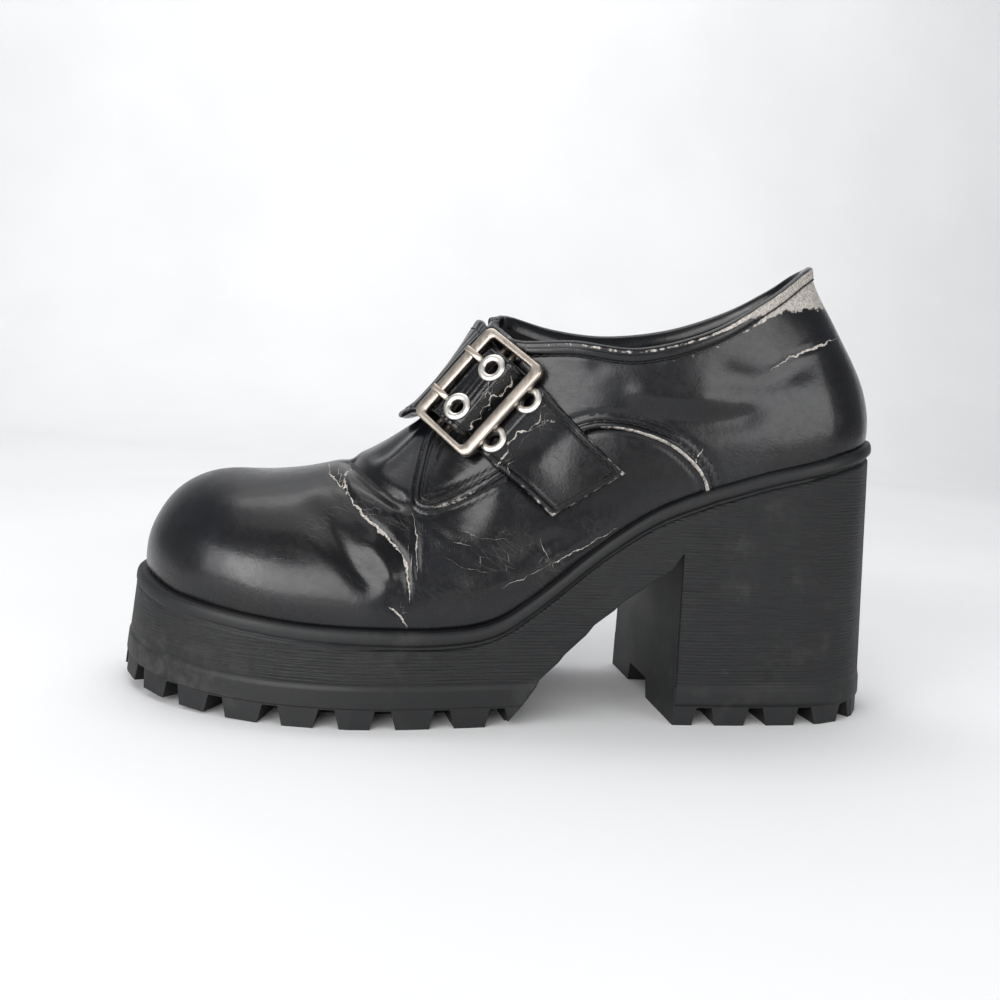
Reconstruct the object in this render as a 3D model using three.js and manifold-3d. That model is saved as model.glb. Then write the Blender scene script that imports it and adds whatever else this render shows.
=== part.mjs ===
// A left platform shoe: moulded block-heel sole, hollow upper with its overlays, buckled instep strap.
// Millimetres. +X points back to the heel, +Y to the inner side of the foot, +Z up, z = 0 is the floor.
import * as THREE from 'three';
import { mergeVertices } from 'three/addons/utils/BufferGeometryUtils.js';
import Module from 'manifold-3d';

const wasm = await Module();
wasm.setup();

// Driving dimensions of the shoe
const length = 266;            // sole, toe tip to heel back
const ballWidth = 99;          // sole, across the ball, at the tread
const collarHeight = 154;      // floor to the collar at the back
const backPlatform = 96.5;     // floor to the sole's lip at the back
const gap = 0.3;               // between curved pieces that meet

// Sole
const lipLedge = 2.8;          // lip that shows outside the upper
const flareMost = 5;           // how far the side leans out from lip to tread, at most
const beadHeight = 5;          // rounded bead under the lip
const beadStep = 0.9;          // how deep the groove under the bead is
const bandHeight = 13;         // smooth band above the floor, lugs included
const bandStep = 0.4;          // step from the band in to the ribbed side
const lugDepth = 6;
const lugPitch = 18.2;
const lugSlot = 5;             // slot between two lugs, at its top
const lugDraft = 1.5;          // how much wider the slot is on each side at the floor
const edgeLug = 15;            // how far an edge lug reaches in from the outline
const ringSlot = 5;            // slot that parts the edge lugs from the inner ones
const toeSpring = 4.5;         // toe tip above the floor
const archFront = 3;           // x of the forefoot tread's rear end
const breastAt = 52;           // x of the heel's front face on the centre line
const breastSkew = 0.086;      // the face's inner end lies further forward
const heelGroove = 22;         // groove along the heel's underside
const archSpan = breastAt - archFront;
const archHeight = 58;         // floor to the arch's underside at the heel breast

// Upper and what lies on it
const wall = 2;
const overlayWall = 1.2;
const insoleThick = 2.6;
const strapThick = 2.4;
const strapTuck = overlayWall + 2 * gap;   // the strap's underside above the upper's own surface

const strapWidth = 28.5;
const tailReach = 42;          // buckle's middle to the strap's end
const bandWidth = 35.5;        // strap where it comes to the buckle from the instep
const bandSpread = 9;          // how much wider it is on the ridge
const bandSkew = 1.5;          // its middle on the ridge lies this much towards the toe
const bandEnd = 14;            // buckle's middle to where the strap is sewn down, mirrored to the inner side

// Buckle
const frameLong = 38;          // along the bars
const frameAcross = 27.5;
const frameThick = 2.6;
const longBar = 4;             // width of the two long bars
const sideBar = 2.4;           // width of the two short sides
const frameCorner = 3.5;
const frameEase = 0.4;         // bevel of its edges
const frameLift = 6.5;         // its middle plane above the upper's surface
const crossBar = 2;            // diameter of the two cross bars
const crossBarPitch = 4;
const crossBarMiddle = -1.5;   // their middle, from the buckle's middle towards the instep
const crossBarDrop = 0.8;      // below the frame's middle plane
const prongWidth = 2.2;
const prongThick = 1.2;
const eyeletOuter = 9.2;
const eyeletHole = 5;
const eyeletProud = 0.5;       // its flange above the strap
const eyeletBarrel = 0.7;      // wall of the barrel that goes through the strap
const eyeletSpacing = 16.6;    // across the strap
const eyeletPitch = 14.5;        // along the strap

// A table of named columns becomes a list of rows
function table(columns, rows) {
  const names = columns.trim().split(/\s+/);
  return rows.map((row) => Object.fromEntries(names.map((name, k) => [name, row[k]])));
}

// Sections of the last from the toe tip (first row) to the heel back (last row). Lengths are shares: along of the
// length, out of the ball width (outer side first, then inner), high of the collar height. foot is the tread's
// outline, top is the ridge of the vamp and then the collar's edge, flare is a share of flareMost. belly is how far
// a section swells over its foot, lift how far up it stays steep, reach how broad its top is, drop how steep it
// comes up to the collar.
const ribs = table(
  `footOut footOuter footIn footInner topAlong topOuter topInner highOuter highInner flare belly lift reach drop fan`, [
    [0.000, -0.090, 0.000, 0.090, 0.147, -0.060, 0.060, 0.485, 0.485, 0.80, 0.020, 0.52, 0.63, 0.00, 1],
    [0.015, 0.061, 0.009, 0.242, 0.152, -0.060, 0.060, 0.485, 0.485, 0.75, 0.020, 0.52, 0.63, 0.00, 1],
    [0.049, 0.202, 0.045, 0.384, 0.162, -0.060, 0.060, 0.485, 0.485, 0.65, 0.021, 0.52, 0.63, 0.00, 1],
    [0.101, 0.318, 0.101, 0.485, 0.177, -0.056, 0.056, 0.485, 0.485, 0.50, 0.024, 0.52, 0.63, 0.00, 1],
    [0.162, 0.399, 0.166, 0.525, 0.198, -0.055, 0.055, 0.488, 0.488, 0.40, 0.026, 0.50, 0.64, 0.00, 0.7],
    [0.233, 0.455, 0.233, 0.525, 0.240, -0.050, 0.050, 0.501, 0.501, 0.35, 0.026, 0.50, 0.60, 0.00, 0.3],
    [0.309, 0.478, 0.301, 0.500, 0.297, -0.045, 0.045, 0.532, 0.532, 0.35, 0.022, 0.48, 0.55, 0.00, 0],
    [0.376, 0.465, 0.368, 0.449, 0.352, -0.040, 0.040, 0.590, 0.590, 0.35, 0.016, 0.46, 0.52, 0.00, 0],
    [0.436, 0.439, 0.429, 0.399, 0.404, -0.030, 0.030, 0.672, 0.672, 0.35, 0.010, 0.44, 0.50, 0.00, 0],
    [0.488, 0.414, 0.485, 0.369, 0.456, -0.020, 0.020, 0.832, 0.832, 0.35, 0.006, 0.42, 0.48, 0.00, 0],
    [0.534, 0.394, 0.534, 0.354, 0.464, 0.090, 0.100, 0.828, 0.851, 0.35, 0.004, 0.40, 0.30, 0.10, 0],
    [0.579, 0.377, 0.579, 0.346, 0.490, 0.203, 0.207, 0.797, 0.860, 0.35, 0.004, 0.38, 0.10, 0.20, 0],
    [0.631, 0.364, 0.628, 0.345, 0.557, 0.268, 0.268, 0.802, 0.837, 0.35, 0.004, 0.36, 0.03, 0.30, 0],
    [0.684, 0.357, 0.684, 0.348, 0.635, 0.296, 0.296, 0.795, 0.830, 0.35, 0.006, 0.36, 0.02, 0.34, 0],
    [0.752, 0.352, 0.752, 0.348, 0.722, 0.291, 0.291, 0.840, 0.854, 0.40, 0.010, 0.34, 0.12, 0.30, 0],
    [0.827, 0.338, 0.827, 0.333, 0.797, 0.242, 0.242, 0.919, 0.903, 0.55, 0.016, 0.34, 0.26, 0.27, 0],
    [0.906, 0.306, 0.906, 0.291, 0.844, 0.157, 0.157, 0.977, 0.955, 0.75, 0.026, 0.36, 0.40, 0.23, 0],
    [0.965, 0.208, 0.965, 0.198, 0.866, 0.076, 0.076, 1.000, 0.990, 0.95, 0.036, 0.38, 0.48, 0.20, 0],
    [1.000, 0.000, 1.000, 0.000, 0.874, 0.000, 0.000, 1.002, 1.002, 1.00, 0.040, 0.38, 0.50, 0.20, 0],
  ]);
const ridgeEnd = 9;            // rows up to here meet the other side on the ridge, later ones end at the collar
const ribCount = ribs.length - 1;

// The sole's lip from toe to heel: along of the length, high of backPlatform
const lip = table('along high', [
  [0.000, 0.405], [0.027, 0.394], [0.067, 0.371], [0.116, 0.356], [0.177, 0.340], [0.248, 0.326], [0.328, 0.321],
  [0.402, 0.319], [0.452, 0.330], [0.485, 0.358], [0.519, 0.420], [0.557, 0.504], [0.594, 0.592], [0.631, 0.670],
  [0.669, 0.738], [0.703, 0.783], [0.744, 0.827], [0.808, 0.881], [0.872, 0.924], [0.940, 0.970], [1.000, 1.000],
]);

// Catmull-Rom value at t between p1 and p2
function spline(p0, p1, p2, p3, t) {
  return 0.5 * (2 * p1 + (p2 - p0) * t + (2 * p0 - 5 * p1 + 4 * p2 - p3) * t * t
    + (3 * p1 - p0 - 3 * p2 + p3) * t * t * t);
}

// A smooth line through one column of a table that is sorted by another
function along(rows, key, value, at) {
  let k = rows.findIndex((row) => row[key] > at) - 1;
  if (k < 0) k = at <= rows[0][key] ? 0 : rows.length - 2;
  const row = (j) => rows[Math.min(Math.max(j, 0), rows.length - 1)];
  const t = THREE.MathUtils.clamp((at - row(k)[key]) / (row(k + 1)[key] - row(k)[key]), 0, 1);
  return spline(row(k - 1)[value], row(k)[value], row(k + 1)[value], row(k + 2)[value], t);
}

const xAt = (share) => (share - 0.5) * length;
const lipHeight = (x) => backPlatform * along(lip, 'along', 'high', x / length + 0.5);

// Toe spring: the tread rises from the ball to the toe tip along a parabola
const springFrom = xAt(0.22);
function treadHeight(x) {
  const rise = Math.max(0, (springFrom - x) / (springFrom + length / 2));
  return toeSpring * rise * rise;
}

// The ring of ribs: 0 at the toe tip, along the outer side to the heel back, along the inner side back to the toe
const ringCount = 2 * ribCount;
function ringRow(k) {
  const j = ((k % ringCount) + ringCount) % ringCount;
  const inner = j > ribCount;
  const row = ribs[inner ? ringCount - j : j];
  const side = inner ? 1 : -1;
  return {
    footX: xAt(inner ? row.footIn : row.footOut),
    footY: side * ballWidth * (inner ? row.footInner : row.footOuter),
    topX: xAt(row.topAlong),
    topY: side * ballWidth * (inner ? row.topInner : row.topOuter),
    topZ: collarHeight * (inner ? row.highInner : row.highOuter),
    flare: flareMost * row.flare,
    belly: ballWidth * row.belly,
    lift: row.lift,
    reach: row.reach,
    drop: row.drop,
    fan: row.fan,
  };
}

function ringValue(name, q) {
  const k = Math.floor(q);
  return spline(ringRow(k - 1)[name], ringRow(k)[name], ringRow(k + 1)[name], ringRow(k + 2)[name], q - k);
}

// Where the tread's outline lies at q, moved in by a distance
function outlineAt(q, inset = 0) {
  const x = ringValue('footX', q);
  const y = ringValue('footY', q);
  const step = 0.05;
  const dx = ringValue('footX', q + step) - ringValue('footX', q - step);
  const dy = ringValue('footY', q + step) - ringValue('footY', q - step);
  const size = Math.hypot(dx, dy);
  return new THREE.Vector2(x - (dy / size) * inset, y + (dx / size) * inset);
}

// The ridge or collar point over q; both sides share one line up to the throat
function topAt(q) {
  const turn = ((q % ringCount) + ringCount) % ringCount;
  const station = turn > ribCount ? ringCount - turn : turn;
  const own = ['topX', 'topY', 'topZ'].map((name) => ringValue(name, q));
  if (station > ridgeEnd) return new THREE.Vector3(...own);
  const other = ['topX', 'topY', 'topZ'].map((name) => ringValue(name, ringCount - turn));
  return new THREE.Vector3(...own.map((value, k) => (value + other[k]) / 2));
}

// The upper's outer surface: each rib is a Bezier curve from the sole's lip (v = 0) to the ridge or collar (v = 1)
function upperPoint(q, v) {
  const foot = outlineAt(q, ringValue('flare', q) + lipLedge);
  const outward = outlineAt(q, 0).sub(outlineAt(q, 1));
  const top = topAt(q);
  const base = new THREE.Vector3(foot.x, foot.y, lipHeight(foot.x) + gap);
  const rise = top.z - base.z;
  const belly = ringValue('belly', q);
  const low = base.clone().add(new THREE.Vector3(outward.x * belly, outward.y * belly, rise * ringValue('lift', q)));
  const reach = new THREE.Vector3((base.x - top.x) * ringValue('fan', q), base.y - top.y, 0);
  const high = top.clone().add(reach.multiplyScalar(ringValue('reach', q)));
  high.z -= rise * ringValue('drop', q);
  return new THREE.CubicBezierCurve3(base, low, high, top).getPoint(v);
}

function steps(count) {
  return Array.from({ length: count + 1 }, (_, k) => k / count);
}

// Joins loops and grids of points into one closed mesh; faces with a collapsed edge are left out
function closedMesh(points, faces) {
  let geometry = new THREE.BufferGeometry();
  geometry.setAttribute('position', new THREE.Float32BufferAttribute(points.flatMap((p) => [p.x, p.y, p.z]), 3));
  geometry.setIndex(faces.flat());
  geometry = mergeVertices(geometry, 1e-3);
  const index = Array.from(geometry.index.array);
  const kept = [];
  for (let k = 0; k < index.length; k += 3) {
    const [a, b, c] = index.slice(k, k + 3);
    if (a !== b && b !== c && c !== a) kept.push(a, b, c);
  }
  geometry.setIndex(kept);
  return geometry;
}

function solid(geometry) {
  const bare = geometry.clone();
  bare.deleteAttribute('normal');
  bare.deleteAttribute('uv');
  const merged = mergeVertices(bare, 1e-4);
  return new wasm.Manifold(new wasm.Mesh({
    numProp: 3,
    vertProperties: new Float32Array(merged.attributes.position.array),
    triVerts: new Uint32Array(merged.index.array),
  }));
}

function geometryOf(body) {
  const mesh = body.getMesh();
  const geometry = new THREE.BufferGeometry();
  geometry.setAttribute('position', new THREE.BufferAttribute(new Float32Array(mesh.vertProperties), 3));
  geometry.setIndex(new THREE.BufferAttribute(new Uint32Array(mesh.triVerts), 1));
  return geometry;
}

const joined = (bodies) => bodies.reduce((all, body) => all.add(body));

// Quads between two rows of a grid, wound so that the first row lies below on an outward-facing wall
function quads(rowA, rowB) {
  const faces = [];
  for (let k = 0; k < rowA.length - 1; k += 1) {
    faces.push([rowA[k], rowA[k + 1], rowB[k + 1]], [rowA[k], rowB[k + 1], rowB[k]]);
  }
  return faces;
}

// The wall between two distances from the upper's surface, over one or more stretches of stations and heights vs.
// The normals are those of the joined surface, so stretches from both sides meet on the ridge.
function wallBetween(stretches, vs, near, far) {
  const points = stretches.flat().flatMap((q) => vs.map((v) => upperPoint(q, v)));
  const faces = [];
  let first = 0;
  for (const qs of stretches) {
    const start = first;
    const id = (i, j) => (start + i) * vs.length + j;
    for (let i = 0; i < qs.length - 1; i += 1) {
      for (let j = 0; j < vs.length - 1; j += 1) {
        faces.push([id(i, j), id(i + 1, j), id(i + 1, j + 1)], [id(i, j), id(i + 1, j + 1), id(i, j + 1)]);
      }
    }
    first += qs.length;
  }
  const sheet = closedMesh(points, faces);
  sheet.computeVertexNormals();
  const at = sheet.attributes.position;
  const normal = sheet.attributes.normal;
  const index = Array.from(sheet.index.array);
  const count = at.count;
  const both = [near, far].flatMap((distance) => Array.from({ length: count }, (_, k) => {
    const p = new THREE.Vector3().fromBufferAttribute(at, k);
    const n = new THREE.Vector3().fromBufferAttribute(normal, k);
    return typeof distance === 'function' ? distance(p, n) : p.clone().addScaledVector(n, distance);
  }));
  const skin = [];
  const edges = new Map();
  for (let k = 0; k < index.length; k += 3) {
    const [a, b, c] = index.slice(k, k + 3);
    skin.push([a + count, b + count, c + count], [c, b, a]);
    for (const [s, e] of [[a, b], [b, c], [c, a]]) edges.set(`${s} ${e}`, [s, e]);
  }
  for (const [s, e] of edges.values()) {
    if (!edges.has(`${e} ${s}`)) skin.push([s, e, e + count], [s, e + count, s + count]);
  }
  return closedMesh(both, skin);
}


const turnOf = (perRib) => Array.from({ length: ringCount * perRib + 1 }, (_, k) => k / perRib);
const stretch = (from, to, count) => steps(count).map((share) => from + (to - from) * share);

// A closed body from levels of the tread's outline. Each level has an inset at q and a height at x, and the lowest
// and the highest are closed by strips from the outer to the inner side that follow the same height.
function lofted(perRib, levels, across) {
  const qs = turnOf(perRib).slice(0, -1);
  const ring = levels.map(({ inset, height }) => qs.map((q) => {
    const p = outlineAt(q, inset(q));
    return new THREE.Vector3(p.x, p.y, height(p.x));
  }));
  const points = ring.flat();
  const id = (level, k) => level * qs.length + (k % qs.length);
  const faces = [];
  for (let level = 0; level < levels.length - 1; level += 1) {
    for (let k = 0; k < qs.length; k += 1) {
      faces.push([id(level, k), id(level, k + 1), id(level + 1, k + 1)]);
      faces.push([id(level, k), id(level + 1, k + 1), id(level + 1, k)]);
    }
  }
  const half = qs.length / 2;
  for (const [level, up] of [[0, false], [levels.length - 1, true]]) {
    const rows = [];
    for (let k = 0; k <= half; k += 1) {
      const a = ring[level][k];
      const b = ring[level][(qs.length - k) % qs.length];
      const row = [id(level, k)];
      for (let j = 1; j < across; j += 1) {
        const p = new THREE.Vector3().lerpVectors(a, b, j / across);
        p.z = levels[level].height(p.x);
        row.push(points.push(p) - 1);
      }
      row.push(id(level, qs.length - k));
      rows.push(row);
    }
    for (let k = 0; k < half; k += 1) {
      for (const face of quads(rows[k], rows[k + 1])) faces.push(up ? face.reverse() : face);
    }
  }
  return closedMesh(points, faces);
}

// Prism of a side-view outline, from one y to another
function sidePrism(outline, fromY, toY) {
  const shape = new THREE.Shape(outline.map(([x, z]) => new THREE.Vector2(x, z)));
  const prism = new THREE.ExtrudeGeometry(shape, { depth: toY - fromY, bevelEnabled: false });
  prism.rotateX(Math.PI / 2);
  prism.translate(0, toY, 0);
  return prism;
}

// Sole
const wide = 2 * ballWidth;
function soleBlank() {
  const flare = (share) => (q) => ringValue('flare', q) * share;
  const bead = (q) => beadStep * THREE.MathUtils.smoothstep(outlineAt(q).x, xAt(0.2), xAt(0.4));
  const lean = (x, z) => (z - treadHeight(x)) / (lipHeight(x) - treadHeight(x));
  const bandTop = (x) => treadHeight(x) + bandHeight;
  const underBead = (x) => lipHeight(x) - beadHeight;
  const at = (height) => (q) => flare(lean(outlineAt(q).x, height(outlineAt(q).x)))(q);
  return lofted(2, [
    { inset: flare(0), height: treadHeight },
    { inset: at(bandTop), height: bandTop },
    { inset: (q) => at(bandTop)(q) + bandStep, height: (x) => bandTop(x) + bandStep },
    { inset: (q) => at(underBead)(q) + bandStep + bead(q) / 2, height: (x) => underBead(x) - 1 },
    { inset: (q) => at(underBead)(q) + bead(q), height: underBead },
    { inset: flare(0.95), height: (x) => lipHeight(x) - beadHeight * 0.62 },
    { inset: flare(1), height: (x) => lipHeight(x) - beadHeight * 0.2 },
    { inset: (q) => flare(1)(q) + 0.8, height: lipHeight },
  ], 4);
}

// Side view of the void under the arch, as shares of its span and height
const arch = table('along high', [
  [-0.10, -0.15], [-0.08, 0.02], [0.02, 0.12], [0.12, 0.26], [0.27, 0.40], [0.45, 0.57], [0.62, 0.70], [0.80, 0.82],
  [0.93, 0.90], [1.00, 0.99], [1.00, -0.15],
]);

function archVoid() {
  const outline = arch.map((row) => [archFront + row.along * archSpan, row.high * archHeight]);
  const prism = sidePrism(outline, -wide / 2, wide / 2);
  const at = prism.attributes.position;
  for (let k = 0; k < at.count; k += 1) {
    const share = Math.max(0, (at.getX(k) - archFront) / archSpan);
    at.setX(k, at.getX(k) - breastSkew * share * at.getY(k));
  }
  return solid(prism);
}

// A slot of the tread: trapezoid section, wider at the floor, running from the outline inwards
function slotCutter(from, direction, reach, width, top) {
  const half = width / 2;
  const foot = half + lugDraft * 1.4;
  const shape = new THREE.Shape([
    new THREE.Vector2(-foot, -2), new THREE.Vector2(foot, -2), new THREE.Vector2(half, top), new THREE.Vector2(-half, top),
  ]);
  const bar = new THREE.ExtrudeGeometry(shape, { depth: reach, bevelEnabled: false });
  const forward = new THREE.Vector3(direction.x, direction.y, 0).normalize();
  const up = new THREE.Vector3(0, 0, 1);
  const side = new THREE.Vector3().crossVectors(up, forward);
  bar.applyMatrix4(new THREE.Matrix4().makeBasis(side, up, forward));
  bar.translate(from.x, from.y, 0);
  return solid(bar);
}

// Places along the outline at equal distances
function pacedAlong(fromQ, toQ, pitch, first) {
  const fine = stretch(fromQ, toQ, 400);
  const places = [];
  let walked = 0;
  let next = first;
  for (let k = 1; k < fine.length; k += 1) {
    walked += outlineAt(fine[k]).distanceTo(outlineAt(fine[k - 1]));
    if (walked >= next) {
      places.push(fine[k]);
      next += pitch;
    }
  }
  return places;
}

// Band between two insets of the outline over a stretch of the ring, below a height that follows the tread
function ringCutter(fromQ, toQ, near, far, deep) {
  const qs = stretch(fromQ, toQ, 30);
  const points = qs.flatMap((q) => {
    const a = outlineAt(q, near);
    const b = outlineAt(q, far);
    const top = treadHeight(outlineAt(q).x) + deep;
    return [
      new THREE.Vector3(a.x, a.y, -2), new THREE.Vector3(b.x, b.y, -2),
      new THREE.Vector3(b.x, b.y, top), new THREE.Vector3(a.x, a.y, top),
    ];
  });
  const faces = [];
  for (let k = 0; k < qs.length - 1; k += 1) {
    for (let j = 0; j < 4; j += 1) {
      const [a, b] = [4 * k + j, 4 * k + ((j + 1) % 4)];
      faces.push([a, b, b + 4], [a, b + 4, a + 4]);
    }
  }
  const last = points.length - 4;
  faces.push([0, 3, 2], [0, 2, 1], [last, last + 1, last + 2], [last, last + 2, last + 3]);
  return solid(closedMesh(points, faces));
}

// The forefoot tread runs from the inner waist round the toe to the outer waist
const waist = 9.3;             // rib where it ends on either side
const firstSlot = 0.25;        // first slot's distance from there, as a share of the pitch
const slotTop = (x) => treadHeight(x) + lugDepth;

function inwardSlot(q, reach) {
  const edge = outlineAt(q, -3);
  const inward = outlineAt(q, 10).sub(outlineAt(q, 0));
  return slotCutter(edge, inward, reach + 3, lugSlot, slotTop(outlineAt(q).x));
}

function frontTreadCuts() {
  const edgeSlots = pacedAlong(waist, -waist, lugPitch, lugPitch * firstSlot).map((q) => inwardSlot(q, edgeLug));
  const ring = ringCutter(-waist - 0.6, waist + 0.6, edgeLug, edgeLug + ringSlot, lugDepth);
  const rows = [];
  const rear = xAt(waist / ribCount * 0.96);
  for (let x = rear - lugPitch; x > xAt(0.13); x -= lugPitch) {
    const from = new THREE.Vector2(x + lugPitch / 3, -ballWidth / 2 + edgeLug);
    const reach = ballWidth - 2 * edgeLug;
    rows.push(slotCutter(from, new THREE.Vector2(-0.1, 1), reach, lugSlot, slotTop(x)));
  }
  const spine = slotCutter(new THREE.Vector2(archFront, 2), new THREE.Vector2(-1, 0.02), length * 0.42, lugSlot, lugDepth);
  return [...edgeSlots, ring, ...rows, spine];
}

const breastOuter = 13.3;      // ribs at the heel breast's two lower corners
const breastInner = 13.0;
const heelTurn = 17.8;         // rib near the heel's back where the slots end
const heelFirst = 0.64;
function heelTreadCuts() {
  const outer = pacedAlong(breastOuter, heelTurn, lugPitch, lugPitch * heelFirst).map((q) => inwardSlot(q, edgeLug));
  const inner = pacedAlong(ringCount - breastInner, ringCount - heelTurn, lugPitch, lugPitch * heelFirst)
    .map((q) => inwardSlot(q, edgeLug));
  const from = new THREE.Vector2(breastAt - 10, 4);
  const groove = slotCutter(from, new THREE.Vector2(1, -0.05), length / 2 - breastAt - edgeLug, heelGroove - 4, lugDepth + 1);
  return [...outer, ...inner, groove];
}

function soleUnit() {
  return geometryOf(solid(soleBlank()).subtract(joined([archVoid(), ...frontTreadCuts(), ...heelTreadCuts()])));
}

// Insole: a plate inside the upper's wall, on the sole
function insole() {
  const inset = (q) => ringValue('flare', q) + lipLedge + wall + gap;
  return lofted(2, [
    { inset, height: (x) => lipHeight(x) + gap },
    { inset, height: (x) => lipHeight(x) + gap + insoleThick },
  ], 2);
}

// Upper
const upperHeights = [0, 0.1, 0.24, 0.38, 0.52, 0.66, 0.79, 0.9, 1];
function upper() {
  return wallBetween([turnOf(2)], upperHeights, -wall, 0);
}

// Overlays: the outer quarter with its pointed flap, and the plainer inner quarter. Side view, shares of the length
// and of the collar's height; the first rows run up the front edge, the last ones go round the back.
const outerEdge = table('along high', [
  [0.735, 0.470], [0.730, 0.512], [0.717, 0.553], [0.685, 0.597], [0.647, 0.621], [0.610, 0.630], [0.576, 0.621],
  [0.523, 0.571], [0.476, 0.514], [0.430, 0.465], [0.394, 0.441], [0.376, 0.446], [0.371, 0.468], [0.376, 0.526],
  [0.388, 0.592], [0.420, 0.665], [0.470, 0.760], [0.485, 0.850],
]);
const innerEdge = table('along high', [
  [0.735, 0.470], [0.730, 0.512], [0.714, 0.556], [0.682, 0.600], [0.643, 0.621], [0.600, 0.628], [0.556, 0.612],
  [0.510, 0.575], [0.460, 0.545], [0.420, 0.545], [0.395, 0.570], [0.395, 0.610], [0.425, 0.680], [0.470, 0.770],
  [0.480, 0.880],
]);

function quarterOverlay(edge, side) {
  const front = new THREE.SplineCurve(edge.map((row) => new THREE.Vector2(xAt(row.along), row.high * collarHeight)));
  const outline = front.getPoints(3 * edge.length).map((p) => [p.x, p.y]);
  const beyond = collarHeight * 1.2;
  outline.push([outline.at(-1)[0], beyond], [length * 0.6, beyond], [length * 0.6, outline[0][1]]);
  const span = [gap / 2, ballWidth];
  const prism = side < 0 ? sidePrism(outline, -span[1], -span[0]) : sidePrism(outline, ...span);
  const from = side < 0 ? 7 : ribCount - 0.5;
  const qs = stretch(from, from + ribCount - 6.5, 2 * ribCount - 13);
  const layer = wallBetween([qs], [0.01, ...upperHeights.slice(1)], gap, gap + overlayWall);
  return geometryOf(solid(layer).intersect(solid(prism)));
}

// The buckle's own frame: u runs across it from the instep towards the strap's tail, t along its bars from the toe
// side up to the collar, w out of the shoe
const buckleRib = 8.75;
const buckleRise = 0.61;
const barHeading = new THREE.Vector3(0.628, 0.014, 0.778);
const seat = upperPoint(buckleRib, buckleRise);
const seatNormal = (() => {
  const dq = upperPoint(buckleRib + 0.05, buckleRise).sub(seat);
  const dv = upperPoint(buckleRib, buckleRise + 0.01).sub(seat);
  return dq.cross(dv).normalize();
})();
const alongBars = barHeading.clone().addScaledVector(seatNormal, -barHeading.dot(seatNormal)).normalize();
const acrossBars = new THREE.Vector3().crossVectors(alongBars, seatNormal);
const buckleMiddle = seat.clone().addScaledVector(seatNormal, frameLift);
const toBuckle = new THREE.Matrix4().makeBasis(acrossBars, alongBars, seatNormal).setPosition(buckleMiddle);
const fromBuckle = toBuckle.clone().invert();

// The strap's underside, in w: flat over the cross bars, low enough for an eyelet's rim under the long bars, then
// down to the upper
const bedHeight = crossBar / 2 - crossBarDrop + 3 * gap;
const underBars = -(frameThick / 2 + 3 * gap + eyeletProud + strapThick);
function strapBed(u) {
  const hump = 1 - THREE.MathUtils.smoothstep(Math.abs(u + 0.4), 5.3, 8.6);
  return underBars + (bedHeight - underBars) * hump - 0.9 * Math.max(0, Math.abs(u) - 17);
}

// A layer of the strap: it follows the upper above the overlays, but near the buckle it is held up by its bars and
// is as thick along the buckle's normal as it is elsewhere along the upper's
const strapLayer = (above) => (p, n) => {
  const under = p.clone().addScaledVector(n, strapTuck);
  const local = under.clone().applyMatrix4(fromBuckle);
  const held = (1 - THREE.MathUtils.smoothstep(Math.abs(local.x), 18, 30))
    * THREE.MathUtils.smoothstep(n.dot(seatNormal), 0.1, 0.5);
  under.addScaledVector(seatNormal, held * Math.max(0, strapBed(local.x) - local.z));
  return under.addScaledVector(n.clone().lerp(seatNormal, held).normalize(), above);
};

// A prism of a (u, t) outline in the buckle's frame, from one w to another
function bucklePrism(outline, low, high) {
  const shape = new THREE.Shape(outline.map(([u, t]) => new THREE.Vector2(u, t)));
  const prism = new THREE.ExtrudeGeometry(shape, { depth: high - low, bevelEnabled: false });
  prism.translate(0, 0, low);
  return prism.applyMatrix4(toBuckle);
}

// Eyelets: two pairs, the first over the cross bars, the second half under the outer bar. They stand on the
// strap's underside.
const eyelets = table('across along', [0, eyeletPitch].flatMap((u) => [[u, -eyeletSpacing / 2], [u, eyeletSpacing / 2]]));
function atEyelet(geometry, row) {
  geometry.translate(row.across, row.along, strapBed(row.across));
  return geometry.applyMatrix4(toBuckle);
}

function eyelet(row) {
  const inner = eyeletHole / 2;
  const barrel = inner + eyeletBarrel;
  const seatAt = strapThick + 2.1 * gap;
  const rim = eyeletOuter / 2;
  const profile = [
    [inner, 0], [barrel, 0], [barrel, seatAt], [rim, seatAt], [rim - eyeletProud / 2, seatAt + eyeletProud],
    [inner, seatAt + eyeletProud], [inner, 0],
  ];
  const ring = new THREE.LatheGeometry(profile.map(([r, h]) => new THREE.Vector2(r, h)), 12);
  ring.rotateX(Math.PI / 2);
  return geometryOf(solid(atEyelet(ring, row)));
}

function eyeletBore(row) {
  const radius = eyeletHole / 2 + eyeletBarrel + gap;
  const bore = new THREE.CylinderGeometry(radius, radius, 4 * strapThick, 12);
  bore.rotateX(Math.PI / 2);
  return solid(atEyelet(bore, row));
}

// Strap: the wide band over the instep and the narrower strap, cut out of one layer above the upper. The band's
// part on the inner side is cut by the same outline, mirrored at the ridge.
const ridgeY = ballWidth * 0.025;
function mirroredAtRidge(geometry) {
  const index = geometry.index ? Array.from(geometry.index.array) : Array.from(
    { length: geometry.attributes.position.count }, (_, k) => k);
  geometry.setIndex(index.map((_, k) => index[k + 2 - 2 * (k % 3)]));
  return geometry.translate(0, -ridgeY, 0).scale(1, -1, 1).translate(0, ridgeY, 0);
}

function halfSpace(fromY, toY) {
  const box = new THREE.BoxGeometry(length, toY - fromY, 2 * collarHeight);
  return solid(box.translate(0, (fromY + toY) / 2, 0));
}

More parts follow.
